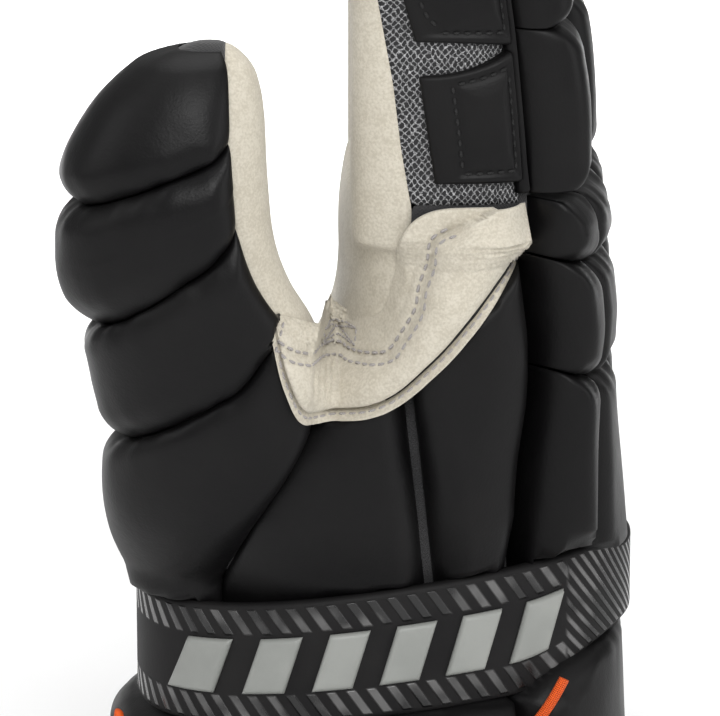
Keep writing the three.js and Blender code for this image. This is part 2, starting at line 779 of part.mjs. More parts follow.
// Panels are thin at the strap and full a little above it.
function panelLift(u, z) {
  return panelThickness * mix(0.4, 1, clamp((z / gloveLength - 0.236) / 0.109, 0, 1));
}

function sidePanel(from, to, high) {
  return cushion(handSection, {
    from,
    to,
    low: () => panelFootShare * gloveLength,
    high,
    thick: panelLift,
    rim: 0.4,
    depth: 7,
  });
}

const frontPanel = sidePanel(
  (z) => frontAngle(handSection, baseSeam(z) + panelGap, z),
  (z) => frontAngle(handSection, panelEdge(z) - panelGap / 2, z),
  (u) => mix(0.475, 0.482, u) * gloveLength,
);
const backPanel = sidePanel(
  (z) => frontAngle(handSection, panelEdge(z) + panelGap / 2, z),
  (z) => -backEdge(z) - sideGapDegrees,
  (u) => mix(0.505, 0.588, u) * gloveLength,
);

thumbSolids.forEach((solid, index) => addNode(thumbPadNames[index], solid, 'padding'));
addNode('side_panel_front', clearOf(frontPanel, thumbSolids[0]), 'padding');
addNode('side_panel_back', backPanel, 'padding');
addNode('web_leather', webSolid, 'leather');

for (const row of heelRows) {
  const solid = cushion(handSection, {
    from: (z) => backEdge(z) + sideGapDegrees,
    to: () => heelEdgeDegrees,
    low: () => row.low * gloveLength + seamGap / 2,
    high: () => row.high * gloveLength - seamGap / 2,
    thick: panelLift,
    rim: 0.4,
    depth: 7,
  });
  addNode(row.name, solid, 'padding');
}

for (const row of patchRows) {
  const surface = (lift) => (u, v) => {
    const low = mix(row.low[0], row.low[1], u);
    const high = mix(row.high[0], row.high[1], u);
    const z = mix(low, high, v) * gloveLength;
    const front = frontAngle(fingerSections[0], mix(row.footX, row.topX, v) * fingerDepth, z);
    const angle = mix(front, -rollHalfDegrees - pipingDegrees - 1.2, u);
    return limbPoint(fingerSections[0], angle, z, lift);
  };
  const outside = patchThickness / fingerSections[0](fingerRoot).sideShare;
  const solid = patch(surface(outside), surface(-3), steps(0, 1, 4), steps(0, 1, 4));
  addNode(row.name, solid.subtract(coreGrown), 'padding');
}

// Stitched roll between the patches and the finger pads of the index finger.
const pipingSolid = cushion(fingerSections[0], {
  from: () => -rollHalfDegrees - pipingDegrees,
  to: () => -rollHalfDegrees - 0.7,
  low: () => fingers[0].grooves[0] * gloveLength,
  high: () => 0.925 * gloveLength,
  thick: () => pipingThickness,
  rim: 0.45,
  depth: 4,
  across: [0, 0.25, 0.5, 0.75, 1],
  along: [0, 0.02, 0.2, 0.4, 0.6, 0.8, 0.98, 1],
});
addNode('index_piping', pipingSolid, 'padding');

// Skin pieces, cut from the core's skin by the leather seam, the mesh seam and the thumb's back seam.
const outside = 1.4 * handDepth;
const aside = 1.2 * handWidth;
const above = 1.061 * gloveLength;
const below = -0.03 * gloveLength;
const meshFoot = crotchHeight + 1.2;
const halfGap = seamGap / 2;

// Corners of a seam between two heights, moved along X.
function seamCorners(rows, by, from = -Infinity, to = Infinity) {
  return rows
    .map(({ at, x }) => [x * handDepth + by, at * gloveLength])
    .filter(([, z]) => z > from && z < to);
}

function seamPrism(corners, fromY = -aside, toY = aside) {
  return prism(corners, fromY, toY);
}

const crotchX = 0.138 * handDepth;
const backX = 0.425 * handDepth;
const palmZone = seamPrism([[-outside, below], ...seamCorners(leatherSeam, -halfGap), [-outside, above]]);
const meshZone = seamPrism([
  [crotchX + halfGap, meshFoot],
  ...seamCorners(leatherSeam, halfGap, meshFoot),
  ...seamCorners(meshSeam, -halfGap, meshFoot).reverse(),
  [backX - halfGap, meshFoot],
]);
const backZone = seamPrism([
  [outside, below],
  [outside, above],
  ...seamCorners(meshSeam, halfGap, meshFoot).reverse(),
  [backX + halfGap, meshFoot - seamGap],
  [crotchX + halfGap, meshFoot - seamGap],
  ...seamCorners(leatherSeam, halfGap, below - 1, meshFoot).reverse(),
]);
const thumbFoot = thumbBackSeam[0].at * gloveLength;
const thumbTop = thumbBackSeam[thumbBackSeam.length - 1].at * gloveLength;
const thumbInnerY = -0.065 * handWidth;
const thumbZone = seamPrism(
  [[-outside, thumbFoot], ...seamCorners(thumbBackSeam, -halfGap), [-outside, thumbTop]],
  -aside,
  thumbInnerY,
);
const thumbZoneGrown = seamPrism(
  [[-outside, thumbFoot - seamGap], ...seamCorners(thumbBackSeam, halfGap), [-outside, thumbTop + 1]],
  -aside,
  thumbInnerY + seamGap,
);

addNode('palm_leather', skin.intersect(palmZone).subtract(thumbZoneGrown), 'leather');
addNode('thumb_backing', skin.intersect(palmZone).intersect(thumbZone), 'lining');
addNode('back_liner', skin.intersect(backZone), 'lining');
const meshSkin = skin.intersect(meshZone);
fingers.forEach((finger) => {
  const low = (finger.at - 0.6) * fingerPitch;
  const corners = [[-outside, fingerRoot], [outside, fingerRoot], [outside, above], [-outside, above]];
  const bodies = meshSkin.intersect(prism(corners, low, low + 1.2 * fingerPitch)).decompose();
  let best = bodies[0];
  for (const body of bodies) {
    const box = body.boundingBox();
    const middle = (box.min[1] + box.max[1]) / 2;
    const inside = Math.abs(middle - (finger.at + finger.spread / 2) * fingerPitch) < 0.25 * fingerPitch;
    if (inside && body.volume() > 500) {
      best = body;
    }
  }
  addNode(`gusset_${finger.name}`, best, 'mesh');
});

// Angle on the strap's thumb side at a length along it from its middle.
function strapAngle(along) {
  const share = clamp(along / strapHalfLong, -0.999, 0.999);
  return (-Math.acos(Math.sign(share) * Math.abs(share) ** (strapPower / 2)) * 180) / Math.PI;
}

// Strap, webbing and bars.
const strapSolid = strapPiece(strapStartDegrees, strapEndDegrees, 0, 1, -strapWall, 0, 40);
addNode('strap_band', strapSolid, 'rubber');
const strapGrown = strapPiece(strapStartDegrees, strapEndDegrees, 0, 1, -strapWall, seat, 40);
const webbingStart = strapEndDegrees + 0.4;
const webbingEnd = 360 + strapStartDegrees - 0.4;
const webbingInside = -0.6 - webbingThickness;
const webbing = strapPiece(webbingStart, webbingEnd, 0.08, 0.92, webbingInside, -0.6, 8);
addNode('strap_webbing', webbing, 'webbing');
for (let bar = 0; bar < barCount; bar += 1) {
  const middle = barsMiddle + (bar - (barCount - 1) / 2) * barPitch;
  const surface = (lift) => (u, v) => {
    const angle = strapAngle(middle + barWidth * (u - 0.5) + barLean * (v - 0.5));
    return strapPoint(angle, mix(0.27, 0.72, v), lift);
  };
  const solid = patch(surface(seat + barThickness), surface(0), [0, 0.25, 0.5, 0.75, 1], [0, 0.5, 1]);
  addNode(`strap_bar_${bar + 1}`, solid.subtract(strapGrown), 'bar');
}

// How thick the cuff is at an angle: full in the middle of each piece, thin at the seams and the rim.
function cuffLift(angle, v) {
  const turned = (angle + 720) % 360;
  const piece = cuffPieces.find(({ from, to }) => {
    const start = (from + 720) % 360;
    return (turned - start + 360) % 360 <= to - from;
  });
  const start = (piece.from + 720) % 360;
  const u = ((turned - start + 360) % 360) / (piece.to - piece.from);
  return cuffPadThickness * mix(0.45, 1, pillow(u, 4)) * (v < 0.02 ? 0.72 : 1);
}

// Orange laces: each comes out under the strap and runs down over the cuff at a slant.
function lacePath(seam) {
  const top = strapPoint(seam, 0, 0).z - 4 * seat;
  const points = steps(0, 1, 6).map((share) => {
    const angle = seam + laceSpreadDegrees * (0.5 - share);
    const lift = cuffLift(angle, 0.5) + laceDiameter * 0.4;
    return limbPoint(handSection, angle, top - laceDrop * share, lift);
  });
  return new THREE.CatmullRomCurve3(points);
}

function laceSolid(seam, radius) {
  const count = 12;
  const sides = 6;
  const path = lacePath(seam);
  const frames = path.computeFrenetFrames(count, false);
  const points = [];
  const triangles = [];
  for (let i = 0; i <= count; i += 1) {
    const middle = path.getPointAt(i / count);
    for (let k = 0; k < sides; k += 1) {
      const turn = (2 * Math.PI * k) / sides;
      points.push(
        middle
          .clone()
          .addScaledVector(frames.normals[i], radius * Math.cos(turn))
          .addScaledVector(frames.binormals[i], radius * Math.sin(turn)),
      );
    }
  }
  for (let i = 0; i < count; i += 1) {
    for (let k = 0; k < sides; k += 1) {
      const a = i * sides + k;
      const b = i * sides + ((k + 1) % sides);
      triangles.push([a, b, b + sides], [a, b + sides, a + sides]);
    }
  }
  const end = count * sides;
  for (let k = 1; k < sides - 1; k += 1) {
    triangles.push([0, k + 1, k], [end, end + k, end + k + 1]);
  }
  return toOutwardSolid(points, triangles);
}

let laces = laceSeamDegrees.map((seam) => laceSolid(seam, laceDiameter / 2));
const laceRooms = laceSeamDegrees.map((seam) => laceSolid(seam, laceDiameter / 2 + 1.5 * seat));

const cuffAcross = [0, 0.06, 0.14, 0.32, 0.68, 0.86, 0.94, 1];
const cuffAlong = [0, 0.06, 0.3, 0.5, 0.65, 0.8, 1];
for (const piece of cuffPieces) {
  const height = (v) => mix(0, cuffTopShare * gloveLength, v);
  const around = (u) => mix(piece.from + 0.2, piece.to - 0.2, u);
  const outer = (u, v) => limbPoint(handSection, around(u), height(v), cuffLift(around(u), v));
  const inner = (u, v) => limbPoint(handSection, around(u), height(v), -4);
  const solid = patch(outer, inner, cuffAcross, cuffAlong).subtract(coreGrown).subtract(strapRoom);
  const clear = laceRooms.reduce((rest, room) => rest.subtract(room), solid);
  addNode(piece.name, clear, 'padding');
  laces = laces.map((lace) => lace.subtract(clear));
}

laces.forEach((solid, index) => addNode(`lace_${index + 1}`, solid.subtract(strapRoom), 'lace'));

// The glove stands on the cuff's rim: origin in the middle of the box, at the floor.
const box = new THREE.Box3().setFromObject(group);
const middle = box.getCenter(new THREE.Vector3());
for (const mesh of group.children) {
  mesh.geometry.translate(-middle.x, -middle.y, -box.min.z);
}

export default group;
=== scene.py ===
import math

import bmesh
import bpy
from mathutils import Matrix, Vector, noise
from mathutils.bvhtree import BVHTree


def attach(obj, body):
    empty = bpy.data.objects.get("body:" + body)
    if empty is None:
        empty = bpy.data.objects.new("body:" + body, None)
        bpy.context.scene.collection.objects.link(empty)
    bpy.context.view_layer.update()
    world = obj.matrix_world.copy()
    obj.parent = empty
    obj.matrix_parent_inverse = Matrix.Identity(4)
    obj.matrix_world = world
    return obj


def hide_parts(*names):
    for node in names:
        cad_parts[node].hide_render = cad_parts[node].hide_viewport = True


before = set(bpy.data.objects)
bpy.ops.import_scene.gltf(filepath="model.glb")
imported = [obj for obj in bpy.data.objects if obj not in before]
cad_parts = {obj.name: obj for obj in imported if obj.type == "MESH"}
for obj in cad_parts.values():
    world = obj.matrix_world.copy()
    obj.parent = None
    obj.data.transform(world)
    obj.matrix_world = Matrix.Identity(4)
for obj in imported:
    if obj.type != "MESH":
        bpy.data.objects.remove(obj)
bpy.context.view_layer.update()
print("frame loaded")

# All sizes are millimetres in the glove's own axes: +Z to the fingertips, -X palm, +X back of the
# hand, -Y thumb side. The frame's origin lies a little off these axes.
glove = {
    "offset": (2.0219, 8.4009, 0.0),
    "length": 330.0,
    "width": 124.0,
    "depth": 100.0,
    "fingerPitch": 35.0,
    "fingerWidth": 31.0,
    "fingerDepth": 48.0,
    "thumbDepth": 44.0,
    "thumbWidth": 36.0,
    "fingerRoot": 0.585,
    "crotch": 0.62,
    "panelFoot": 0.218,
    "cuffTop": 0.215,
}

handRows = [
    dict(at=0.000, back=0.56, palmThumb=-0.54, palmHeel=-0.52, near=-0.42, far=0.38, power=2.3),
    dict(at=0.100, back=0.54, palmThumb=-0.51, palmHeel=-0.48, near=-0.38, far=0.325, power=2.3),
    dict(at=0.190, back=0.53, palmThumb=-0.51, palmHeel=-0.48, near=-0.37, far=0.315, power=2.3),
    dict(at=0.270, back=0.53, palmThumb=-0.50, palmHeel=-0.46, near=-0.38, far=0.325, power=2.3),
    dict(at=0.330, back=0.51, palmThumb=-0.46, palmHeel=-0.40, near=-0.42, far=0.365, power=2.45),
    dict(at=0.400, back=0.49, palmThumb=-0.36, palmHeel=-0.25, near=-0.46, far=0.43, power=2.6),
    dict(at=0.450, back=0.485, palmThumb=-0.20, palmHeel=-0.11, near=-0.48, far=0.46, power=2.75),
    dict(at=0.485, back=0.48, palmThumb=-0.105, palmHeel=-0.075, near=-0.495, far=0.48, power=2.85),
    dict(at=0.510, back=0.48, palmThumb=-0.072, palmHeel=-0.065, near=-0.505, far=0.49, power=2.9),
    dict(at=0.540, back=0.475, palmThumb=-0.06, palmHeel=-0.062, near=-0.515, far=0.50, power=2.9),
    dict(at=0.580, back=0.47, palmThumb=-0.062, palmHeel=-0.06, near=-0.525, far=0.51, power=2.9),
    dict(at=0.620, back=0.465, palmThumb=-0.040, palmHeel=-0.04, near=-0.535, far=0.52, power=2.9),
]

thumbRows = [
    dict(at=0.285, midX=-0.79, midY=-0.66, halfX=0.46, halfY=0.50),
    dict(at=0.345, midX=-0.81, midY=-0.98, halfX=0.52, halfY=0.58),
    dict(at=0.420, midX=-0.82, midY=-1.28, halfX=0.56, halfY=0.60),
    dict(at=0.480, midX=-0.83, midY=-1.46, halfX=0.62, halfY=0.58),
    dict(at=0.520, midX=-0.90, midY=-1.58, halfX=0.61, halfY=0.56),
    dict(at=0.550, midX=-0.98, midY=-1.65, halfX=0.56, halfY=0.53),
    dict(at=0.590, midX=-1.02, midY=-1.71, halfX=0.50, halfY=0.51),
    dict(at=0.650, midX=-1.035, midY=-1.78, halfX=0.475, halfY=0.48),
    dict(at=0.705, midX=-1.000, midY=-1.80, halfX=0.420, halfY=0.43),
    dict(at=0.738, midX=-0.945, midY=-1.80, halfX=0.300, halfY=0.32),
    dict(at=0.756, midX=-0.905, midY=-1.80, halfX=0.120, halfY=0.13),
]

fingerRows = [
    dict(at=0.00, back=0.96, palm=-0.055, half=0.505),
    dict(at=0.15, back=0.945, palm=-0.055, half=0.500),
    dict(at=0.45, back=0.87, palm=-0.055, half=0.485),
    dict(at=0.70, back=0.77, palm=-0.060, half=0.465),
    dict(at=0.86, back=0.655, palm=-0.040, half=0.425),
    dict(at=0.95, back=0.540, palm=0.030, half=0.330),
    dict(at=1.00, back=0.360, palm=0.170, half=0.140),
]

fingers = [
    dict(name="index", at=-1.5, tip=0.955, spread=-0.14, rise=0.0, grooves=[0.632, 0.768, 0.868, 0.944]),
    dict(name="middle", at=-0.5, tip=0.999, spread=-0.04, rise=0.055, grooves=[0.636, 0.776, 0.892, 0.99]),
    dict(name="ring", at=0.5, tip=0.965, spread=0.06, rise=0.045, grooves=[0.632, 0.768, 0.874, 0.954]),
    dict(name="little", at=1.5, tip=0.880, spread=0.18, rise=-0.02, grooves=[0.632, 0.735, 0.808, 0.868]),
]

thumbSeam = [
    dict(at=0.285, angle=97),
    dict(at=0.345, angle=77),
    dict(at=0.420, angle=46),
    dict(at=0.450, angle=40),
    dict(at=0.500, angle=52),
    dict(at=0.530, angle=50),
    dict(at=0.570, angle=57),
    dict(at=0.620, angle=62.5),
    dict(at=0.760, angle=66),
]

thumbGrooves = [
    dict(outer=0.218, inner=0.218),
    dict(outer=0.415, inner=0.535),
    dict(outer=0.520, inner=0.620),
    dict(outer=0.625, inner=0.685),
    dict(outer=0.752, inner=0.752),
]

thumbLift = [
    dict(at=0.218, lift=0.40),
    dict(at=0.270, lift=0.62),
    dict(at=0.320, lift=0.76),
    dict(at=0.380, lift=0.74),
    dict(at=0.450, lift=0.62),
    dict(at=0.520, lift=0.66),
    dict(at=0.575, lift=0.88),
    dict(at=0.650, lift=0.88),
    dict(at=0.700, lift=0.55),
    dict(at=0.735, lift=0.37),
    dict(at=0.756, lift=0.40),
]

webRows = [
    dict(at=0.00, freeX=-0.235, freeZ=0.518, sewnX=-0.215, sewnZ=0.536, lift=0.15),
    dict(at=0.12, freeX=-0.200, freeZ=0.475, sewnX=-0.150, sewnZ=0.527, lift=0.45),
    dict(at=0.24, freeX=-0.145, freeZ=0.443, sewnX=-0.080, sewnZ=0.519, lift=0.65),
    dict(at=0.36, freeX=-0.030, freeZ=0.442, sewnX=-0.010, sewnZ=0.517, lift=0.70),
    dict(at=0.50, freeX=0.090, freeZ=0.455, sewnX=0.060, sewnZ=0.53, lift=0.70),
    dict(at=0.64, freeX=0.210, freeZ=0.487, sewnX=0.092, sewnZ=0.562, lift=0.70),
    dict(at=0.78, freeX=0.305, freeZ=0.520, sewnX=0.112, sewnZ=0.6, lift=0.65),
    dict(at=0.90, freeX=0.395, freeZ=0.556, sewnX=0.205, sewnZ=0.6215, lift=0.55),
    dict(at=1.00, freeX=0.462, freeZ=0.588, sewnX=0.440, sewnZ=0.6235, lift=0.50),
]


def mix(a, b, share):
    return a + (b - a) * share


def clamp(value, low=0.0, high=1.0):
    return min(high, max(low, value))


def smooth(low, high, value):
    share = clamp((value - low) / (high - low))
    return share * share * (3 - 2 * share)


def place(x, y, z):
    ox, oy, oz = glove["offset"]
    return Vector(((x + ox) / 1000, (y + oy) / 1000, (z + oz) / 1000))


def readTable(rows, at):
    spot = clamp(at, rows[0]["at"], rows[-1]["at"])
    index = 0
    while index < len(rows) - 2 and spot > rows[index + 1]["at"]:
        index += 1
    before = rows[max(index - 1, 0)]
    start = rows[index]
    end = rows[index + 1]
    after = rows[min(index + 2, len(rows) - 1)]
    span = end["at"] - start["at"]
    t = (spot - start["at"]) / span
    a = 2 * t**3 - 3 * t**2 + 1
    b = t**3 - 2 * t**2 + t
    c = -2 * t**3 + 3 * t**2
    d = t**3 - t**2
    result = {}
    for key in start:
        slopeStart = (end[key] - before[key]) / max(end["at"] - before["at"], 1e-9) * span
        slopeEnd = (after[key] - start[key]) / max(after["at"] - start["at"], 1e-9) * span
        result[key] = a * start[key] + b * slopeStart + c * end[key] + d * slopeEnd
    return result


def rounded(value, power):
    return math.copysign(abs(value) ** (2 / power), value)


def remembered(make):
    kept = {}

    def section(z):
        key = round(z, 3)
        if key not in kept:
            kept[key] = make(z)
        return kept[key]

    return section


@remembered
def handSection(z):
    row = readTable(handRows, z / glove["length"])
    back = row["back"] * glove["depth"]
    heel = row["palmHeel"] * glove["depth"]
    near = row["near"] * glove["width"]
    far = row["far"] * glove["width"]
    return dict(
        midX=(back + heel) / 2,
        midY=(near + far) / 2,
        halfX=(back - heel) / 2,
        extra=heel - row["palmThumb"] * glove["depth"],
        halfY=(far - near) / 2,
        power=row["power"],
        side=1.0,
    )


@remembered
def thumbSection(z):
    row = readTable(thumbRows, z / glove["length"])
    return dict(
        midX=row["midX"] * glove["thumbDepth"],
        midY=row["midY"] * glove["thumbWidth"],
        halfX=row["halfX"] * glove["thumbDepth"],
        extra=0.0,
        halfY=row["halfY"] * glove["thumbWidth"],
        power=2.3,
        side=0.6,
    )


def fingerSection(finger):
    root = glove["fingerRoot"] * glove["length"]

    @remembered
    def section(z):
        share = (z - root) / (finger["tip"] * glove["length"] - root)
        row = readTable(fingerRows, share)
        back = row["back"] * glove["fingerDepth"]
        palm = row["palm"] * glove["fingerDepth"]
        return dict(
            midX=(back + palm) / 2 + finger["rise"] * glove["fingerDepth"],
            midY=(finger["at"] + finger["spread"] * clamp(share)) * glove["fingerPitch"],
            halfX=(back - palm) / 2,
            extra=0.0,
            halfY=row["half"] * glove["fingerWidth"],
            power=3.2,
            side=0.65,
        )

    return section


fingerSections = {finger["name"]: fingerSection(finger) for finger in fingers}


def limbPoint(section, degrees, z, lift):
    s = section(z)
    c = rounded(math.cos(math.radians(degrees)), s["power"])
    n = rounded(math.sin(math.radians(degrees)), s["power"])
    half = s["halfX"] if c > 0 else s["halfX"] + s["extra"] * (1 - n) / 2
    return (s["midX"] + (half + lift) * c, s["midY"] + (s["halfY"] + lift * s["side"]) * n, z)


def frontAngle(section, x, z):
    s = section(z)
    half = s["halfX"] if x > s["midX"] else s["halfX"] + s["extra"]
    share = clamp((x - s["midX"]) / half, -0.999, 0.999)
    return -math.degrees(math.acos(math.copysign(abs(share) ** (s["power"] / 2), share)))


def backAngle(section, y, z):
    s = section(z)
    share = clamp((y - s["midY"]) / s["halfY"], -0.999, 0.999)
    return math.degrees(math.asin(math.copysign(abs(share) ** (s["power"] / 2), share)))


# Mesh helpers.


# Solid between two grids of points with the same counts; flat gives each outer point's UV.
def closedPatch(outer, inner, flat):
    bm = bmesh.new()
    layer = bm.loops.layers.uv.new("flat")
    sheets = []
    for grid in (outer, inner):
        sheets.append([[bm.verts.new(place(*point)) for point in row] for row in grid])
    tall = len(outer)
    wide = len(outer[0])
    uvOf = {}
    for sheet in sheets:
        for j in range(tall):
            for i in range(wide):
                uvOf[sheet[j][i]] = flat[j][i]
    top, bottom = sheets
    quads = []
    for j in range(tall - 1):
        for i in range(wide - 1):
            quads.append((top[j][i], top[j][i + 1], top[j + 1][i + 1], top[j + 1][i]))
            quads.append((bottom[j][i], bottom[j + 1][i], bottom[j + 1][i + 1], bottom[j][i + 1]))
    for i in range(wide - 1):
        quads.append((top[0][i], bottom[0][i], bottom[0][i + 1], top[0][i + 1]))
        quads.append((top[-1][i], top[-1][i + 1], bottom[-1][i + 1], bottom[-1][i]))
    for j in range(tall - 1):
        quads.append((top[j][0], top[j + 1][0], bottom[j + 1][0], bottom[j][0]))
        quads.append((top[j][-1], bottom[j][-1], bottom[j + 1][-1], top[j + 1][-1]))
    for quad in quads:
        face = bm.faces.new(quad)
        for loop in face.loops:
            loop[layer].uv = uvOf[loop.vert]
    bmesh.ops.recalc_face_normals(bm, faces=bm.faces[:])
    return bm


# Outer sheet, inner sheet and flat lengths of a piece, from a function that gives all three at a spot.
def gridsOf(tall, wide, at):
    outer, inner, flat = [], [], []
    for j in range(tall):
        spots = [at(j, i) for i in range(wide)]
        outer.append([spot[0] for spot in spots])
        inner.append([spot[1] for spot in spots])
        flat.append([spot[2] for spot in spots])
    return outer, inner, flat


def finishPiece(name, bm, material, slot, nodes=(), flatFaces=False):
    for face in bm.faces:
        face.smooth = not flatFaces
    mesh = bpy.data.meshes.new(name)
    bm.to_mesh(mesh)
    bm.free()
    obj = bpy.data.objects.new(name, mesh)
    bpy.context.scene.collection.objects.link(obj)
    mesh.materials.append(material)
    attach(obj, "root")
    if nodes:
        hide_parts(*nodes)
    return obj


# Shares from 0 to 1, gathered toward both ends.
def even(count, gather=0.0):
    shares = []
    for i in range(count + 1):
        t = i / count
        shares.append(mix(t, 0.5 - 0.5 * math.cos(math.pi * t), gather))
    return shares


def lengths(points):
    total = [0.0]
    for a, b in zip(points, points[1:]):
        total.append(total[-1] + math.dist(a, b))
    return total


def edgeDrop(distance, radius, drop, soft=0.0):
    t = 1 - clamp(distance / radius)
    return drop * mix(1 - math.sqrt(max(1 - t * t, 0.0)), t * t, soft)


# Small gathers where a pad's cover is sewn down in a groove.
def pucker(seed, left, edge, v):
    side = 3.7 if v > 0.5 else 0.0
    ripple = noise.noise(Vector((left * 0.16, seed + side, edge * 0.02)))
    fold = noise.noise(Vector((left * 0.055, seed + side + 20.0, 0.0)))
    return 2.0 * ripple * math.exp(-edge / 5.0) + 3.0 * min(fold, 0.0) * math.exp(-edge / 9.0)


# Grid points of a pad: outer sheet, inner sheet and flat lengths.
def cushion(section, spec):
    across = even(spec.get("wide", 44), 0.55)
    along = even(spec.get("tall", 32), 0.55)
    base = []
    for v in along:
        row = []
        for u in across:
            z = mix(spec["low"](u), spec["high"](u), v)
            angle = mix(spec["start"](z), spec["end"](z), u)
            row.append((u, v, z, angle, spec["thick"](u, z)))
        base.append(row)
    solid = [[limbPoint(section, angle, z, thick * 0.9) for u, v, z, angle, thick in row] for row in base]
    rowLength = [lengths(row) for row in solid]
    columnLength = [lengths([solid[j][i] for j in range(len(along))]) for i in range(len(across))]
    edges = spec["edges"]
    crown = spec.get("crown", 1.4)
    seed = spec.get("seed", 0.0)

    def at(j, i):
        u, v, z, angle, thick = base[j][i]
        left = rowLength[j][i]
        right = rowLength[j][-1] - left
        down = columnLength[i][j]
        up = columnLength[i][-1] - down
        drops = []
        for key, distance in (("left", left), ("right", right), ("low", down), ("high", up)):
            radius, depth = edges[key]
            drops.append(edgeDrop(distance, radius, depth if depth > 0 else thick + depth, 0.55))
        drop = sum(value**2.5 for value in drops) ** (1 / 2.5)
        bulge = crown * (1 - (2 * v - 1) ** 2) * (1 - (2 * u - 1) ** 2) - crown * 0.6
        spot = Vector(solid[j][i])
        wrinkle = spec.get("noise", 0.5) * noise.noise(spot * 0.045 + Vector((seed, 0, 0)))
        wrinkle += pucker(seed, left, min(down, up), v)
        lift = max(thick + bulge + wrinkle - drop, 0.5)
        outer = underStrap(underWeb(limbPoint(section, angle, z, lift)))
        inner = limbPoint(section, angle, z, min(0.3, lift - 0.2))
        return outer, inner, (left / 1000, down / 1000)

    return gridsOf(len(along), len(across), at)


# Materials: small helpers for nodes, then one function for each finish.


def newMaterial(name):
    material = bpy.data.materials.new(name)
    material.use_nodes = True
    return material, material.node_tree


def node(tree, kind, inputs=None, **settings):
    made = tree.nodes.new(kind)
    for key, value in settings.items():
        setattr(made, key, value)
    for key, value in (inputs or {}).items():
        socket = made.inputs[key]
        if isinstance(value, bpy.types.NodeSocket):
            tree.links.new(value, socket)
        else:
            socket.default_value = value
    return made


def maths(tree, operation, a, b=None, c=None):
    made = tree.nodes.new("ShaderNodeMath")
    made.operation = operation
    for index, value in enumerate((a, b, c)):
        if value is None:
            continue
        if isinstance(value, bpy.types.NodeSocket):
            tree.links.new(value, made.inputs[index])
        else:
            made.inputs[index].default_value = value
    return made.outputs[0]


def ranged(tree, value, low, high, toLow=0.0, toHigh=1.0):
    made = node(
        tree,
        "ShaderNodeMapRange",
        {"Value": value, "From Min": low, "From Max": high, "To Min": toLow, "To Max": toHigh},
        interpolation_type="SMOOTHSTEP",
    )
    return made.outputs[0]


def blendColour(tree, share, a, b):
    made = tree.nodes.new("ShaderNodeMix")
    made.data_type = "RGBA"
    for index, value in ((0, share), (6, a), (7, b)):
        if isinstance(value, bpy.types.NodeSocket):
            tree.links.new(value, made.inputs[index])
        elif index == 0:
            made.inputs[0].default_value = value
        else:
            made.inputs[index].default_value = (*value, 1.0)
    return made.outputs[2]


def objectSpot(tree):
    return node(tree, "ShaderNodeTexCoord").outputs["Object"]


def flatSpot(tree):
    return node(tree, "ShaderNodeUVMap", uv_map="flat").outputs[0]


def split(tree, vector):
    made = node(tree, "ShaderNodeSeparateXYZ", {"Vector": vector})
    return made.outputs[0], made.outputs[1], made.outputs[2]


def noiseOf(tree, vector, scale, detail=4.0, roughness=0.55):
    settings = {"Vector": vector, "Scale": scale, "Detail": detail, "Roughness": roughness}
    return node(tree, "ShaderNodeTexNoise", settings).outputs[0]


def cellsOf(tree, vector, scale, feature):
    made = node(tree, "ShaderNodeTexVoronoi", {"Vector": vector, "Scale": scale}, feature=feature)
    return made.outputs["Distance"]


def bump(tree, height, distance, strength=1.0, normal=None):
    made = node(tree, "ShaderNodeBump", {"Height": height, "Distance": distance, "Strength": strength})
    if normal is not None:
        tree.links.new(normal, made.inputs["Normal"])
    return made.outputs[0]


def shade(tree, colour, roughness, normal, **more):
    shader = tree.nodes["Principled BSDF"]
    for key, value in {"Base Color": colour, "Roughness": roughness, "Normal": normal, **more}.items():
        if isinstance(value, bpy.types.NodeSocket):
            tree.links.new(value, shader.inputs[key])
        elif isinstance(value, tuple):
            shader.inputs[key].default_value = (*value, 1.0)
        elif value is not None:
            shader.inputs[key].default_value = value


paddingLook = {
    "dark": (0.0024, 0.0022, 0.0025),
    "worn": (0.0050, 0.0047, 0.0048),
    "roughness": (0.40, 0.52),
    "grain": 1500.0,
    "cells": 1300.0,
    "grainDepth": 0.00006,
}


def makePadding():
    material, tree = newMaterial("padding")
    spot = objectSpot(tree)
    cloud = noiseOf(tree, spot, 28.0, 5.0)
    fine = noiseOf(tree, spot, paddingLook["grain"], 2.0)
    cells = cellsOf(tree, spot, paddingLook["cells"], "F1")
    colour = blendColour(tree, ranged(tree, cloud, 0.35, 0.7), paddingLook["dark"], paddingLook["worn"])
    low, high = paddingLook["roughness"]
    rough = ranged(tree, cloud, 0.3, 0.7, low, high)
    soft = bump(tree, noiseOf(tree, spot, 110.0, 3.0), 0.0005, 0.35)
    height = maths(tree, "ADD", fine, maths(tree, "MULTIPLY", cells, 0.6))
    grain = bump(tree, height, paddingLook["grainDepth"], 0.6, soft)
    shade(tree, colour, rough, grain, **{"Specular IOR Level": 0.19})
    return material


leatherLook = {
    "pale": (0.57, 0.53, 0.445),
    "shadow": (0.463, 0.423, 0.343),
    "roughness": 0.85,
    "grain": 900.0,
    "cells": 700.0,
    "grainDepth": 0.00026,
}


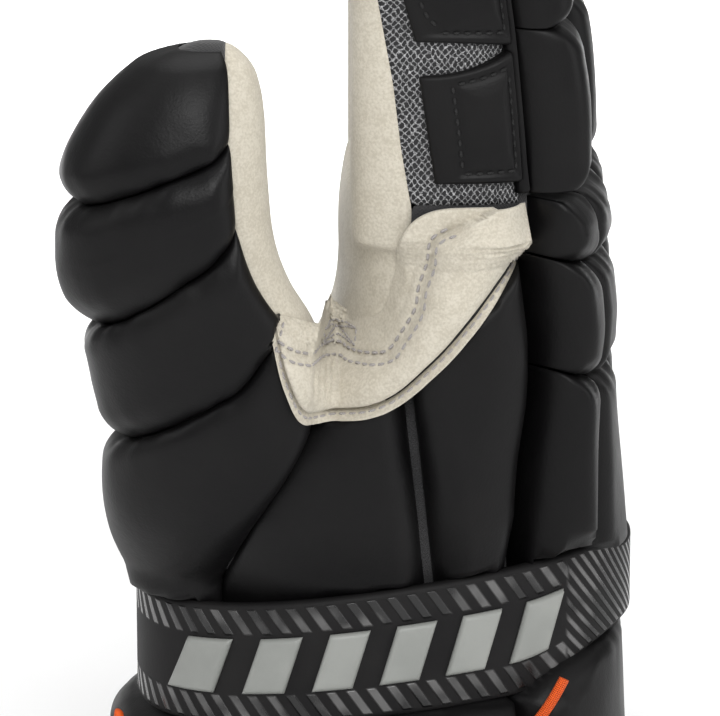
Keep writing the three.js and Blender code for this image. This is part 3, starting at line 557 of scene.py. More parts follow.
def makeLeather():
    material, tree = newMaterial("leather")
    spot = objectSpot(tree)
    cloud = noiseOf(tree, spot, 40.0, 6.0, 0.62)
    mottle = noiseOf(tree, spot, 320.0, 3.0)
    speckle = noiseOf(tree, spot, 1400.0, 2.0)
    share = maths(tree, "ADD", maths(tree, "MULTIPLY", cloud, 0.2), maths(tree, "MULTIPLY", mottle, 0.25))
    share = maths(tree, "ADD", share, maths(tree, "MULTIPLY", speckle, 0.55))
    colour = blendColour(tree, ranged(tree, share, 0.38, 0.62), leatherLook["shadow"], leatherLook["pale"])
    cells = cellsOf(tree, spot, leatherLook["cells"], "DISTANCE_TO_EDGE")
    fine = noiseOf(tree, spot, leatherLook["grain"], 4.0)
    soft = bump(tree, cloud, 0.0007, 0.3)
    height = maths(tree, "ADD", fine, maths(tree, "MULTIPLY", cells, 0.5))
    grain = bump(tree, height, leatherLook["grainDepth"], 0.7, soft)
    shade(tree, colour, leatherLook["roughness"], grain, **{"Sheen Weight": 0.15, "Sheen Roughness": 0.5})
    return material


def makeLining():
    material, tree = newMaterial("lining")
    spot = objectSpot(tree)
    x, y, z = split(tree, spot)
    weave = maths(
        tree,
        "MULTIPLY",
        maths(tree, "SINE", maths(tree, "MULTIPLY", maths(tree, "ADD", x, y), 2 * math.pi / 0.0011)),
        maths(tree, "SINE", maths(tree, "MULTIPLY", z, 2 * math.pi / 0.0011)),
    )
    cloud = noiseOf(tree, spot, 60.0, 4.0)
    colour = blendColour(tree, ranged(tree, cloud, 0.3, 0.7), (0.012, 0.012, 0.013), (0.024, 0.023, 0.024))
    shade(tree, colour, 0.85, bump(tree, weave, 0.00012, 0.6), **{"Sheen Weight": 0.2})
    return material


meshLook = {
    "cellWidth": 0.0018,
    "cellHeight": 0.0022,
    "thread": (0.52, 0.52, 0.53),
    "hole": (0.010, 0.010, 0.011),
}


def makeMesh():
    material, tree = newMaterial("mesh")
    spot = objectSpot(tree)
    x, y, z = split(tree, spot)
    wobble = noiseOf(tree, spot, 420.0, 3.0)
    shifted = node(tree, "ShaderNodeVectorMath", {0: spot, 1: (0.3, 0.7, 0.1)}).outputs[0]
    wobbleUp = noiseOf(tree, shifted, 420.0, 3.0)
    sway = maths(tree, "MULTIPLY", maths(tree, "SUBTRACT", wobble, 0.5), meshLook["cellWidth"])
    swayUp = maths(tree, "MULTIPLY", maths(tree, "SUBTRACT", wobbleUp, 0.5), meshLook["cellHeight"])
    side = maths(tree, "ADD", maths(tree, "ADD", x, sway), maths(tree, "MULTIPLY", y, 0.9))
    rise = maths(tree, "ADD", z, swayUp)
    a = maths(tree, "DIVIDE", side, meshLook["cellWidth"])
    b = maths(tree, "DIVIDE", rise, meshLook["cellHeight"])
    first = maths(tree, "SINE", maths(tree, "MULTIPLY", maths(tree, "ADD", a, b), math.pi))
    second = maths(tree, "SINE", maths(tree, "MULTIPLY", maths(tree, "SUBTRACT", a, b), math.pi))
    cell = maths(tree, "ABSOLUTE", maths(tree, "MULTIPLY", first, second))
    thread = ranged(tree, cell, 0.14, 0.42, 1.0, 0.0)
    strands = ranged(tree, noiseOf(tree, spot, 2600.0, 3.0), 0.32, 0.62, 0.12, 1.0)
    share = maths(tree, "MULTIPLY", thread, strands)
    colour = blendColour(tree, share, meshLook["hole"], meshLook["thread"])
    shade(tree, colour, 0.75, bump(tree, share, 0.0005, 0.9))
    return material


rubberLook = {
    "body": (0.006, 0.0058, 0.006),
    # edge: silver painted highlight that noise puts on some of the glossy dashes; body: the dashes' own black
    "edge": (0.110, 0.108, 0.107),
    "pitch": 0.0056,
    "bandWidth": 0.0080,
    "height": 0.034,
    "ribsFrom": 0.150,
    "ribsTo": 0.196,
}


def makeRubber():
    material, tree = newMaterial("rubber")
    u, v, _ = split(tree, flatSpot(tree))
    slant = maths(tree, "ADD", u, maths(tree, "MULTIPLY", v, 0.7))
    phase = maths(tree, "FRACT", maths(tree, "DIVIDE", slant, rubberLook["pitch"]))
    stripe = ranged(tree, maths(tree, "ABSOLUTE", maths(tree, "SUBTRACT", phase, 0.5)), 0.16, 0.3, 1.0, 0.0)
    edge = maths(tree, "MINIMUM", v, maths(tree, "SUBTRACT", rubberLook["height"], v))
    band = maths(
        tree,
        "MULTIPLY",
        ranged(tree, edge, 0.0012, 0.0018),
        ranged(tree, edge, rubberLook["bandWidth"], rubberLook["bandWidth"] + 0.0008, 1.0, 0.0),
    )
    finePhase = maths(tree, "FRACT", maths(tree, "DIVIDE", slant, rubberLook["pitch"] * 0.62))
    fine = ranged(tree, maths(tree, "ABSOLUTE", maths(tree, "SUBTRACT", finePhase, 0.5)), 0.14, 0.3, 1.0, 0.0)
    ribs = maths(
        tree,
        "MULTIPLY",
        ranged(tree, u, rubberLook["ribsFrom"], rubberLook["ribsFrom"] + 0.002),
        ranged(tree, u, rubberLook["ribsTo"], rubberLook["ribsTo"] + 0.01, 1.0, 0.0),
    )
    inner = ranged(tree, edge, 0.0012, 0.0018)
    ribbed = maths(tree, "MULTIPLY", maths(tree, "MULTIPLY", ribs, fine), inner)
    plain = maths(tree, "MULTIPLY", maths(tree, "MULTIPLY", stripe, band), maths(tree, "SUBTRACT", 1.0, ribs))
    dashes = maths(tree, "MAXIMUM", plain, ribbed)
    spot = objectSpot(tree)
    cloud = noiseOf(tree, spot, 45.0, 4.0)
    base = blendColour(tree, ranged(tree, cloud, 0.3, 0.7), (0.0085, 0.008, 0.0085), (0.013, 0.0125, 0.0125))
    # Painted highlight: noise patches turn some dashes from black to silver, in place of reflections on the
    # glossy ribs.
    paintedHighlightShare = ranged(tree, noiseOf(tree, spot, 55.0, 2.0), 0.42, 0.62)
    dashColourWithPaintedHighlight = blendColour(tree, paintedHighlightShare, rubberLook["body"], rubberLook["edge"])
    colour = blendColour(tree, dashes, base, dashColourWithPaintedHighlight)
    rough = ranged(tree, dashes, 0.0, 1.0, 0.60, 0.24)
    grain = bump(tree, noiseOf(tree, spot, 900.0, 3.0), 0.00008, 0.6)
    relief = bump(tree, dashes, 0.0005, 0.8, grain)
    gloss = ranged(tree, dashes, 0.0, 1.0, 0.15, 0.5)
    shade(tree, colour, rough, relief, **{"Specular IOR Level": gloss})
    return material


def makeBar():
    material, tree = newMaterial("bar")
    spot = objectSpot(tree)
    cloud = noiseOf(tree, spot, 60.0, 4.0)
    colour = blendColour(tree, ranged(tree, cloud, 0.3, 0.7), (0.235, 0.243, 0.228), (0.275, 0.282, 0.265))
    shade(tree, colour, 0.45, bump(tree, noiseOf(tree, spot, 1200.0, 2.0), 0.00005, 0.6))
    return material


def makeWebbing():
    material, tree = newMaterial("webbing")
    u, v, _ = split(tree, flatSpot(tree))
    ribs = maths(tree, "SINE", maths(tree, "MULTIPLY", v, 2 * math.pi / 0.0016))
    cross = maths(tree, "SINE", maths(tree, "MULTIPLY", u, 2 * math.pi / 0.0009))
    height = maths(tree, "ADD", ribs, maths(tree, "MULTIPLY", cross, 0.35))
    spot = objectSpot(tree)
    strands = noiseOf(tree, spot, 900.0, 3.0)
    # Partly painted shade: the colour darkens in the troughs of the ribs, on the same signal as the bump,
    # with random strand tone added.
    share = maths(tree, "ADD", ranged(tree, ribs, -0.9, 0.6, 0.0, 0.7), maths(tree, "MULTIPLY", strands, 0.3))
    colour = blendColour(tree, share, (0.028, 0.025, 0.022), (0.17, 0.15, 0.13))
    shade(tree, colour, 0.9, bump(tree, height, 0.0004, 0.9))
    return material


def makeLace():
    material, tree = newMaterial("lace")
    u, v, _ = split(tree, flatSpot(tree))
    first = maths(tree, "SINE", maths(tree, "MULTIPLY", maths(tree, "ADD", u, v), 2 * math.pi / 0.0011))
    second = maths(tree, "SINE", maths(tree, "MULTIPLY", maths(tree, "SUBTRACT", u, v), 2 * math.pi / 0.0011))
    braid = maths(tree, "MULTIPLY", first, second)
    # Painted shade: the colour darkens where the braid sinks, on the same signal as the bump.
    colour = blendColour(tree, ranged(tree, braid, -0.6, 0.5), (0.50, 0.045, 0.001), (1.0, 0.135, 0.003))
    shade(tree, colour, 0.7, bump(tree, braid, 0.0003, 0.8))
    return material


def makeThread(name, colour):
    material, tree = newMaterial(name)
    spot = objectSpot(tree)
    x, y, z = split(tree, spot)
    along = maths(tree, "ADD", maths(tree, "ADD", x, y), z)
    twist = maths(tree, "SINE", maths(tree, "MULTIPLY", along, 2 * math.pi / 0.0005))
    # Painted shade: the darker copy of the colour follows the twist, as the bump does, and darkens the
    # grooves between the plies.
    dark = tuple(value * 0.55 for value in colour)
    strands = blendColour(tree, ranged(tree, twist, -1.0, 1.0), dark, colour)
    shade(tree, strands, 0.7, bump(tree, twist, 0.00008, 0.7))
    return material


padding = makePadding()
leather = makeLeather()
lining = makeLining()
knit = makeMesh()
rubber = makeRubber()
barMaterial = makeBar()
webbingMaterial = makeWebbing()
laceMaterial = makeLace()
paleThread = makeThread("thread_pale", (0.50, 0.47, 0.46))
darkThread = makeThread("thread_dark", (0.010, 0.010, 0.010))
print("materials made")


# Skin: hand, fingers and thumb as one remeshed form, parted along the glove's seams.

skin = {"voxel": 0.0016, "wall": 0.0017, "smoothing": 6}
backing = {"palmY": -8, "top": 262}

leatherLine = [(11, -10), (11, 165), (13.8, 204), (10.9, 221), (8.7, 239), (4.3, 263), (3.5, 350)]
meshLine = [(42.5, 205), (40.5, 225), (36.5, 258), (31.5, 290), (27, 350)]
thumbLine = [(-24, 112), (-17, 150), (-22.7, 175), (-30, 188), (-35.3, 208), (-35.6, 262)]
meshFoot = glove["crotch"] * glove["length"] + 1.2


def lineX(line, z):
    if z <= line[0][1]:
        return line[0][0]
    for (x0, z0), (x1, z1) in zip(line, line[1:]):
        if z <= z1:
            return mix(x0, x1, (z - z0) / (z1 - z0))
    return line[-1][0]


def loftInto(bm, section, heights, around, capLift):
    rings = []
    for z in heights:
        ring = [limbPoint(section, 360 * i / around, z, 0) for i in range(around)]
        rings.append([bm.verts.new(place(*point)) for point in ring])
    for low, high in zip(rings, rings[1:]):
        for i in range(around):
            k = (i + 1) % around
            bm.faces.new((low[i], low[k], high[k], high[i]))
    first = section(heights[0])
    last = section(heights[-1])
    bottom = bm.verts.new(place(first["midX"], first["midY"], heights[0]))
    top = bm.verts.new(place(last["midX"], last["midY"], heights[-1] + capLift))
    for i in range(around):
        k = (i + 1) % around
        bm.faces.new((bottom, rings[0][k], rings[0][i]))
        bm.faces.new((top, rings[-1][i], rings[-1][k]))


def span(low, high, count, gather=0.0):
    return [mix(low, high, share) for share in even(count, gather)]


def remeshed(bm, voxel):
    mesh = bpy.data.meshes.new("skin_source")
    bm.to_mesh(mesh)
    bm.free()
    source = bpy.data.objects.new("skin_source", mesh)
    bpy.context.scene.collection.objects.link(source)
    modifier = source.modifiers.new("remesh", "REMESH")
    modifier.mode = "VOXEL"
    modifier.voxel_size = voxel
    graph = bpy.context.evaluated_depsgraph_get()
    done = bpy.data.meshes.new_from_object(source.evaluated_get(graph))
    result = bmesh.new()
    result.from_mesh(done)
    bpy.data.objects.remove(source)
    bpy.data.meshes.remove(done)
    bpy.data.meshes.remove(mesh)
    return result


length = glove["length"]
bm = bmesh.new()
loftInto(bm, handSection, span(-6, glove["crotch"] * length, 60), 96, 0.4)
for finger in fingers:
    tops = span(glove["fingerRoot"] * length, finger["tip"] * length, 40, 0.5)
    loftInto(bm, fingerSections[finger["name"]], tops, 56, 0.4)
loftInto(bm, thumbSection, span(0.29 * length, 0.756 * length, 48, 0.5), 56, 0.4)
bmesh.ops.recalc_face_normals(bm, faces=bm.faces[:])
skinMesh = remeshed(bm, skin["voxel"])
allAxes = dict(use_axis_x=True, use_axis_y=True, use_axis_z=True)
for _ in range(skin["smoothing"]):
    bmesh.ops.smooth_vert(skinMesh, verts=skinMesh.verts[:], factor=0.5, **allAxes)
print("skin remeshed:", len(skinMesh.faces), "faces")


def toGlove(point):
    ox, oy, oz = glove["offset"]
    return (point.x * 1000 - ox, point.y * 1000 - oy, point.z * 1000 - oz)


# Lower edge of the thumb's black backing: it falls from the palm toward the side of the hand.
def thumbFoot(y):
    return mix(112, 92, clamp((backing["palmY"] - y) / 22))


def zoneOf(x, y, z):
    if z < 0:
        return "none"
    if x < lineX(leatherLine, z):
        onThumb = y < backing["palmY"] and thumbFoot(y) < z < backing["top"]
        if onThumb and x < lineX(thumbLine, z):
            return "thumb_backing"
        return "palm_leather"
    if z > meshFoot and x < lineX(meshLine, z):
        best = min(fingers, key=lambda f: abs(y - (f["at"] + f["spread"] * 0.5) * glove["fingerPitch"]))
        return "gusset_" + best["name"]
    return "back_liner"


zoneFaces = {}
zoneOfFace = {}
for face in skinMesh.faces:
    zone = zoneOf(*toGlove(face.calc_center_median()))
    zoneFaces.setdefault(zone, []).append(face)
    zoneOfFace[face] = zone

for vert in skinMesh.verts:
    zones = {zoneOfFace[face] for face in vert.link_faces}
    if len(zones) < 2:
        continue
    x, y, z = toGlove(vert.co)
    if "none" in zones:
        vert.co = place(x, y, 0.0)
    elif zones == {"palm_leather", "thumb_backing"}:
        if z < thumbFoot(y) + 4:
            vert.co = place(x, y, thumbFoot(y))
        elif y < -9.5:
            vert.co = place(lineX(thumbLine, z), y, z)
    elif "palm_leather" in zones:
        vert.co = place(lineX(leatherLine, z), y, z)
    elif abs(z - meshFoot) < 1.7 and "back_liner" in zones and x < lineX(meshLine, z) - 0.8:
        vert.co = place(x, y, meshFoot)
    elif "back_liner" in zones:
        vert.co = place(lineX(meshLine, z), y, z)


def skinPart(zone):
    part = bmesh.new()
    kept = {}
    for face in zoneFaces.get(zone, []):
        corners = []
        for vert in face.verts:
            if vert not in kept:
                kept[vert] = part.verts.new(vert.co)
            corners.append(kept[vert])
        part.faces.new(corners)
    for _ in range(2):
        rim = [vert for vert in part.verts if vert.is_boundary]
        moves = {}
        for vert in rim:
            near = [edge.other_vert(vert).co for edge in vert.link_edges if edge.is_boundary]
            if len(near) == 2:
                moves[vert] = vert.co * 0.5 + (near[0] + near[1]) * 0.25
        for vert, spot in moves.items():
            vert.co = spot
    bmesh.ops.recalc_face_normals(part, faces=part.faces[:])
    part.normal_update()
    outside = 0.0
    for face in part.faces:
        middle = face.calc_center_median()
        outside += (middle - Vector((0.01, 0.0, middle.z))).dot(face.normal)
    if outside < 0:
        bmesh.ops.reverse_faces(part, faces=part.faces[:])
    bmesh.ops.solidify(part, geom=part.faces[:], thickness=skin["wall"])
    for vert in part.verts:
        vert.co.z = max(vert.co.z, 0.0)  # nothing below the floor
    return part


for zone, material, slot in (
    ("palm_leather", leather, "leather"),
    ("thumb_backing", lining, "lining"),
    ("back_liner", lining, "lining"),
    ("gusset_index", knit, "mesh"),
    ("gusset_middle", knit, "mesh"),
    ("gusset_ring", knit, "mesh"),
    ("gusset_little", knit, "mesh"),
):
    piece = finishPiece(zone + "_skin", skinPart(zone), material, slot, [zone])
    print(zone, len(piece.data.polygons))
skinMesh.free()
print("skin parted")


strap = {
    "midX": 6.6,
    "midY": -3.968,
    "halfLong": 70.5,
    "halfShort": 50.964,
    "power": 2.3,
    "turn": 9.0,
    "height": 34.0,
    "wall": 3.5,
    "start": -184.0,
    "end": 150.0,
    "bars": 6,
}


# Lower and upper edge of the strap at an X: it rises across the hand and narrows at the back.
def strapEdges(x):
    rise = x + 54
    low = 0.26 * length - strap["height"] + 0.09 * rise + 11.0 * smooth(42, 77, x)
    high = 0.262 * length + 0.115 * rise - 5.0 * smooth(64, 77, x)
    return low, high


def strapPoint(degrees, share, lift):
    c = math.cos(math.radians(degrees))
    s = math.sin(math.radians(degrees))
    tc = math.cos(math.radians(strap["turn"]))
    ts = math.sin(math.radians(strap["turn"]))
    longShare = rounded(c, strap["power"])
    shortShare = rounded(s, strap["power"])
    along = (strap["halfLong"] + lift) * longShare
    across = (strap["halfShort"] + lift) * shortShare
    x = strap["midX"] + along * tc - across * ts
    y = strap["midY"] + along * ts + across * tc
    faceX = strap["midX"] + strap["halfLong"] * longShare * tc - strap["halfShort"] * shortShare * ts
    bottom, top = strapEdges(faceX)
    return (x, y, mix(bottom, top, share))


# Web leather: a padded band between thumb and index finger, with a free lip along its lower edge.

web = {
    "wide": 150,
    "tall": 64,
    "thick": 1.7,
    "lift": 1.2,
    "raise": 13.0,
    "gap": 3.4,
    "bulge": 4.6,
    "rise": 9.0,
}

# Double row of stitches across the web leather, as X and Z.
webSeam = [
    (-24.0, 171.0),
    (-22.4, 169.8),
    (-16.2, 165.4),
    (-6.5, 161.6),
    (-0.8, 161.5),
    (7.6, 164.0),
    (11.6, 169.6),
    (15.7, 177.2),
    (16.7, 183.4),
    (18.9, 190.1),
    (20.0, 196.8),
    (26.5, 200.4),
]


def frontY(x, z):
    nearest = 1e3
    for section in (handSection, thumbSection, fingerSections["index"]):
        s = section(z)
        half = s["halfX"] if x > s["midX"] else s["halfX"] + s["extra"]
        share = abs((x - s["midX"]) / half)
        if x > 20 and section is not thumbSection:
            share = min(share, 0.95)
        if section is fingerSections["index"] and z < glove["fingerRoot"] * length:
            continue
        if share < 1:
            nearest = min(nearest, s["midY"] - s["halfY"] * (1 - share ** s["power"]) ** (1 / s["power"]))
    return nearest


smoothed = {}


def smoothFrontY(x, z):
    key = (round(x, 1), round(z, 1))
    if key not in smoothed:
        values = []
        for i in range(-2, 3):
            for j in range(-2, 3):
                y = frontY(key[0] + i * 1.6, key[1] + j * 1.6)
                if y < 500:
                    values.append(y)
        smoothed[key] = sum(values) / len(values) if values else -40.0
    return smoothed[key]


def webBase(u, v):
    row = readTable(webRows, clamp(u))
    x = mix(row["freeX"], row["sewnX"], v) * glove["depth"]
    z = mix(row["freeZ"], row["sewnZ"], v) * length
    return (x, smoothFrontY(x, z) - row["lift"] * web["raise"] * max(1 - v / 0.75, 0) ** 0.7, z)


# Distance from a point to a line of corners, and the side it lies on.
def toLine(line, x, z):
    best = (1e9, 1.0)
    for (x0, z0), (x1, z1) in zip(line, line[1:]):
        dx, dz = x1 - x0, z1 - z0
        t = clamp(((x - x0) * dx + (z - z0) * dz) / (dx * dx + dz * dz))
        distance = math.hypot(x - x0 - t * dx, z - z0 - t * dz)
        if distance < best[0]:
            side = dx * (z - z0) - dz * (x - x0)
            best = (distance, math.copysign(1.0, side))
    return best


def swell(distance, radius):
    t = clamp(distance / radius)
    return math.sqrt(max(1 - (1 - t) ** 2, 0.0))


def webLift(x, z, fromFree, fromLeft, fromRight):
    seam, side = toLine(webSeam, x, z)
    low = min(fromFree - web["gap"], fromLeft - 3.0)
    if side < 0:
        height = web["bulge"] * swell(max(min(low, fromRight - 1.5), 0), web["rise"]) * swell(seam, 6.0)
    else:
        height = 1.1 * swell(seam, 5.0) * swell(max(fromLeft - 1.0, 0), 4.0)
    height -= 0.7 * math.exp(-((seam / 1.5) ** 2))
    height -= mix(1.2, 2.6, smooth(-14, 4, x)) * math.exp(-(((fromFree - 3.1) / 0.7) ** 2))
    height -= 0.5 * math.exp(-(((fromLeft - 2.2) / 0.8) ** 2))
    height += 0.9 * smooth(1.6, 0.0, fromFree)
    folds = 0.55 * noise.noise(Vector((x, z, 4.0)) * 0.10)
    creases = 0.25 * noise.noise(Vector((x, z, 9.0)) * 0.31)
    return height + folds + creases


webU = even(web["wide"], 0.3)
webV = even(web["tall"], 0.4)
webGrid = [[webBase(u, v) for u in webU] for v in webV]
webRun = [lengths(row) for row in webGrid]
webRise = [lengths([row[i] for row in webGrid]) for i in range(len(webU))]


def webSpot(j, i):
    x, y, z = webGrid[j][i]
    fromFree = webRise[i][j]
    fromLeft = webRun[j][i]
    fromRight = webRun[j][-1] - fromLeft
    fromSewn = webRise[i][-1] - fromFree
    side = min(fromFree, fromLeft, fromRight, fromSewn)
    blend = mix(smooth(0, 7, fromSewn), 1, smooth(0.66, 0.8, webU[i]))
    height = (webLift(x, z, fromFree, fromLeft, fromRight) + web["lift"]) * mix(0.15, 1, blend)
    drop = edgeDrop(side, 0.8, 0.6)
    outer = (x, y - height - web["thick"] * mix(0.25, 1, blend) + drop, z)
    inner = (x, y - height - drop * 0.4, z)
    return outer, inner, (fromLeft / 1000, fromFree / 1000)


webMesh = closedPatch(*gridsOf(len(webV), len(webU), webSpot))
webTree = BVHTree.FromBMesh(webMesh)
finishPiece("web_leather_sheet", webMesh, leather, "leather", ["web_leather"])
print("web leather made")


# A pad's point, moved behind the web leather where it would show through it.
def underWeb(point):
    start = place(point[0], -200, point[2])
    hit, _, _, _ = webTree.ray_cast(start, Vector((0, 1, 0)))
    if hit is None:
        return point
    y = hit.y * 1000 - glove["offset"][1] + web["thick"] + 0.5
    return (point[0], max(point[1], y), point[2])


pressed = {"above": 9.0, "riseAbove": 14.0, "below": 7.0, "riseBelow": 10.0}


# A pad's point, pressed in where the strap runs over it, and rounded off beside the strap.
def underStrap(point):
    x, y, z = point
    bottom, top = strapEdges(x)
    if z > top + pressed["above"] or z < bottom - pressed["below"]:
        return point
    allowed = -strap["wall"] - 0.5
    if z > top:
        allowed += pressed["riseAbove"] * swell(z - top, pressed["above"])
    elif z < bottom:
        allowed += pressed["riseBelow"] * swell(bottom - z, pressed["below"])
    tc = math.cos(math.radians(strap["turn"]))
    ts = math.sin(math.radians(strap["turn"]))
    dx, dy = x - strap["midX"], y - strap["midY"]
    a = abs(dx * tc + dy * ts) / (strap["halfLong"] + allowed)
    b = abs(dy * tc - dx * ts) / (strap["halfShort"] + allowed)
    value = a ** strap["power"] + b ** strap["power"]
    if value <= 1:
        return point
    scale = value ** (-1 / strap["power"])
    return (strap["midX"] + dx * scale, strap["midY"] + dy * scale, z)


# Pads.

# Radius and drop of a groove between two pads, thickness of the pads, and half the gap between them.
pads = {
    "groove": (7.5, 5.2),
    "edge": (10.0, 13.0),
    "roll": 17.4,
    "thumb": 16.0,
    "panel": 10.0,
    "cuff": 22.0,
    "gap": 0.2,
}
groove = pads["groove"]


def backEdge(z):
    return mix(44, 50, clamp((z / length - 0.48) / 0.11))


def addPad(name, section, spec):
    finishPiece(name + "_cover", closedPatch(*cushion(section, spec)), padding, "padding", [name])


for finger in fingers:
    for roll in range(3):
        low = finger["grooves"][roll] * length + pads["gap"]
        high = finger["grooves"][roll + 1] * length - pads["gap"]
        fade = 0.82 if roll == 2 else 1.0
        tipEdge = (7.0, 6.5) if roll == 2 else groove

        def rollThick(u, z, low=low, high=high, roll=roll, fade=fade):
            return pads["roll"] * fade * mix(1, 0.8, clamp((z - low) / (high - low)) * roll / 2)

        addPad(
            f"{finger['name']}_roll_{roll + 1}",
            fingerSections[finger["name"]],
            dict(
                start=lambda z: -36.0,
                end=lambda z: 36.0,
                low=lambda u, low=low: low,
                high=lambda u, high=high: high,
                thick=rollThick,
                edges=dict(left=(9.0, 11.5), right=(9.0, 11.5), low=groove, high=tipEdge),
                wide=40,
                tall=36,
                seed=roll * 3.1 + finger["at"],
            ),
        )


def backRow(name, columns, lowShare, highShare, sinkLow, sinkHigh, thickness, lowEdge):
    for column in range(len(columns) - 1):

        def edge(share, z, side):
            if abs(share) == 1:
                return share * backEdge(z)
            across = handSection(z)
            return backAngle(handSection, across["midY"] + share * 1.08 * across["halfY"] + side * 0.3, z)

        def dip(u, sink, column=column):
            spot = mix(columns[column], columns[column + 1], u)
            return sink * length * max(1 - spot * spot, 0)

        addPad(
            f"{name}_{column + 1}",
            handSection,
            dict(
                start=lambda z, column=column: edge(columns[column], z, 1),
                end=lambda z, column=column: edge(columns[column + 1], z, -1),
                low=lambda u: lowShare * length - dip(u, sinkLow) + pads["gap"],
                high=lambda u: highShare * length - dip(u, sinkHigh) - pads["gap"],
                thick=lambda u, z: thickness,
                edges=dict(
                    left=pads["edge"] if column == 0 else groove,
                    right=pads["edge"] if column == len(columns) - 2 else groove,
                    low=lowEdge,
                    high=groove,
                ),
                wide=36,
                tall=34,
                seed=column * 2.3 + thickness,
            ),
        )


fourColumns = [-1, -0.5, 0, 0.5, 1]
backRow("knuckle_pad", fourColumns, 0.578, 0.627, 0.022, 0.012, 22.0, groove)
backRow("hand_pad", fourColumns, 0.478, 0.577, 0.022, 0.022, 23.1, groove)
backRow("wrist_pad", fourColumns, 0.218, 0.477, 0, 0.022, 23.7, (14.0, 14.0))
print("finger and back pads made")


def thumbAngle(z):
    return readTable(thumbSeam, z / length)["angle"]


def thumbGrooveZ(row, u):
    return mix(row["inner"], row["outer"], math.sin(math.pi * clamp(u)) ** 0.8) * length


for index, name in enumerate(("thumb_pad_base", "thumb_pad_lower", "thumb_pad_upper", "thumb_pad_tip")):
    addPad(
        name,
        thumbSection,
        dict(
            start=lambda z: -thumbAngle(z),
            end=lambda z: -360 + thumbAngle(z),
            low=lambda u, index=index: thumbGrooveZ(thumbGrooves[index], u) + pads["gap"],
            high=lambda u, index=index: thumbGrooveZ(thumbGrooves[index + 1], u) - pads["gap"],
            thick=lambda u, z: pads["thumb"] * readTable(thumbLift, z / length)["lift"],
            edges=dict(
                left=(15.0, -2.2),
                right=(15.0, -2.2),
                low=(9.0, 6.0) if index else (8.0, 5.0),
                high=(9.0, 6.0) if index < 3 else (8.0, 4.5),
            ),
            wide=96,
            tall=44,
            seed=index * 4.7,
            crown=1.2,
        ),
    )


def baseSeam(z):
    return mix(-38, -13, clamp((z - 95) / 55, -0.3, 1.2))


def panelEdge(z):
    return mix(18.5, 13.5, clamp((z - 98) / 50, -0.3, 1.3))


def panelThick(u, z):
    return pads["panel"] * mix(0.4, 1, clamp((z - 78) / 36))


panels = [
    dict(
        name="side_panel_front",
        start=lambda z: frontAngle(handSection, baseSeam(z) + 0.4, z),
        end=lambda z: frontAngle(handSection, panelEdge(z) - 1.3, z),
        low=lambda u: glove["panelFoot"] * length,
        high=lambda u: mix(0.475, 0.482, u) * length,
    ),
    dict(
        name="side_panel_back",
        start=lambda z: frontAngle(handSection, panelEdge(z) + 1.3, z),
        end=lambda z: -backEdge(z) - 2.2,
        low=lambda u: glove["panelFoot"] * length,
        high=lambda u: mix(0.505, 0.588, u) * length,
    ),
    dict(
        name="heel_panel_lower",
        start=lambda z: backEdge(z) + 2.2,
        end=lambda z: 118.0,
        low=lambda u: glove["panelFoot"] * length,
        high=lambda u: 0.42 * length - pads["gap"],
    ),
    dict(
        name="heel_panel_upper",
        start=lambda z: backEdge(z) + 2.2,
        end=lambda z: 118.0,
        low=lambda u: 0.421 * length,
        high=lambda u: 0.6 * length,
    ),
]
for index, panel in enumerate(panels):
    spec = dict(panel)
    spec.pop("name")
    spec.update(
        thick=panelThick,
        edges=dict(left=(10.0, 8.0), right=(10.0, 8.0), low=(7.0, 3.6), high=(6.0, 5.0)),
        wide=48,
        tall=64,
        seed=index * 1.9 + 7,
        crown=1.0,
    )
    addPad(panel["name"], handSection, spec)
print("thumb pads and side panels made")


# Cuff pads below the strap.

cuffPieces = [
    dict(name="cuff_pad_back", start=-52, end=52),
    dict(name="cuff_pad_heel", start=52, end=128),
    dict(name="cuff_pad_palm", start=128, end=232),
    dict(name="cuff_pad_front", start=232, end=308),
]
for index, piece in enumerate(cuffPieces):
    addPad(
        piece["name"],
        handSection,
        dict(
            start=lambda z, piece=piece: piece["start"] + 0.25,
            end=lambda z, piece=piece: piece["end"] - 0.25,
            low=lambda u: 0.0,
            high=lambda u: glove["cuffTop"] * length,
            thick=lambda u, z: pads["cuff"] * mix(0.72, 1, smooth(0, 6, z)),
            edges=dict(left=(13.0, 12.0), right=(13.0, 12.0), low=(4.0, 2.5), high=(4.0, 3.0)),
            wide=64,
            tall=40,
            seed=index * 5.3,
            crown=0.8,
        ),
    )


# Strap, bars, webbing and laces.

strapBand = {
    "start": strap["start"],
    "end": strap["end"],
    "low": 0,
    "high": 1,
    "inside": -strap["wall"],
    "outside": 0,
    "wide": 260,
    "tall": 24,
    "round": 1.2,
}
strapWebbing = {
    "start": strap["end"] + 0.4,
    "end": 360 + strap["start"] - 0.4,
    "low": 0.08,
    "high": 0.92,
    "inside": -2.6,
    "outside": -0.6,
    "wide": 40,
    "tall": 24,
    "round": 0.6,
}


def strapSheet(sheet, name, material, slot):
    angles = span(sheet["start"], sheet["end"], sheet["wide"])
    shares = even(sheet["tall"], 0.5)
    run = lengths([strapPoint(angle, 0.5, 0) for angle in angles])
    height = strap["height"] * (sheet["high"] - sheet["low"])
    rim = sheet["round"]

    def at(j, i):
        v = mix(sheet["low"], sheet["high"], shares[j])
        toEdge = min(shares[j], 1 - shares[j]) * height
        toEnd = min(run[i], run[-1] - run[i])
        drop = edgeDrop(toEdge, rim, rim * 0.8) + edgeDrop(toEnd, rim, rim * 0.8)
        drop = min(drop, (sheet["outside"] - sheet["inside"]) * 0.45)
        outer = strapPoint(angles[i], v, sheet["outside"] - drop)
        inner = strapPoint(angles[i], v, sheet["inside"] + drop * 0.6)
        return outer, inner, (run[i] / 1000, shares[j] * height / 1000)

    finishPiece(name + "_body", closedPatch(*gridsOf(len(shares), len(angles), at)), material, slot, [name])


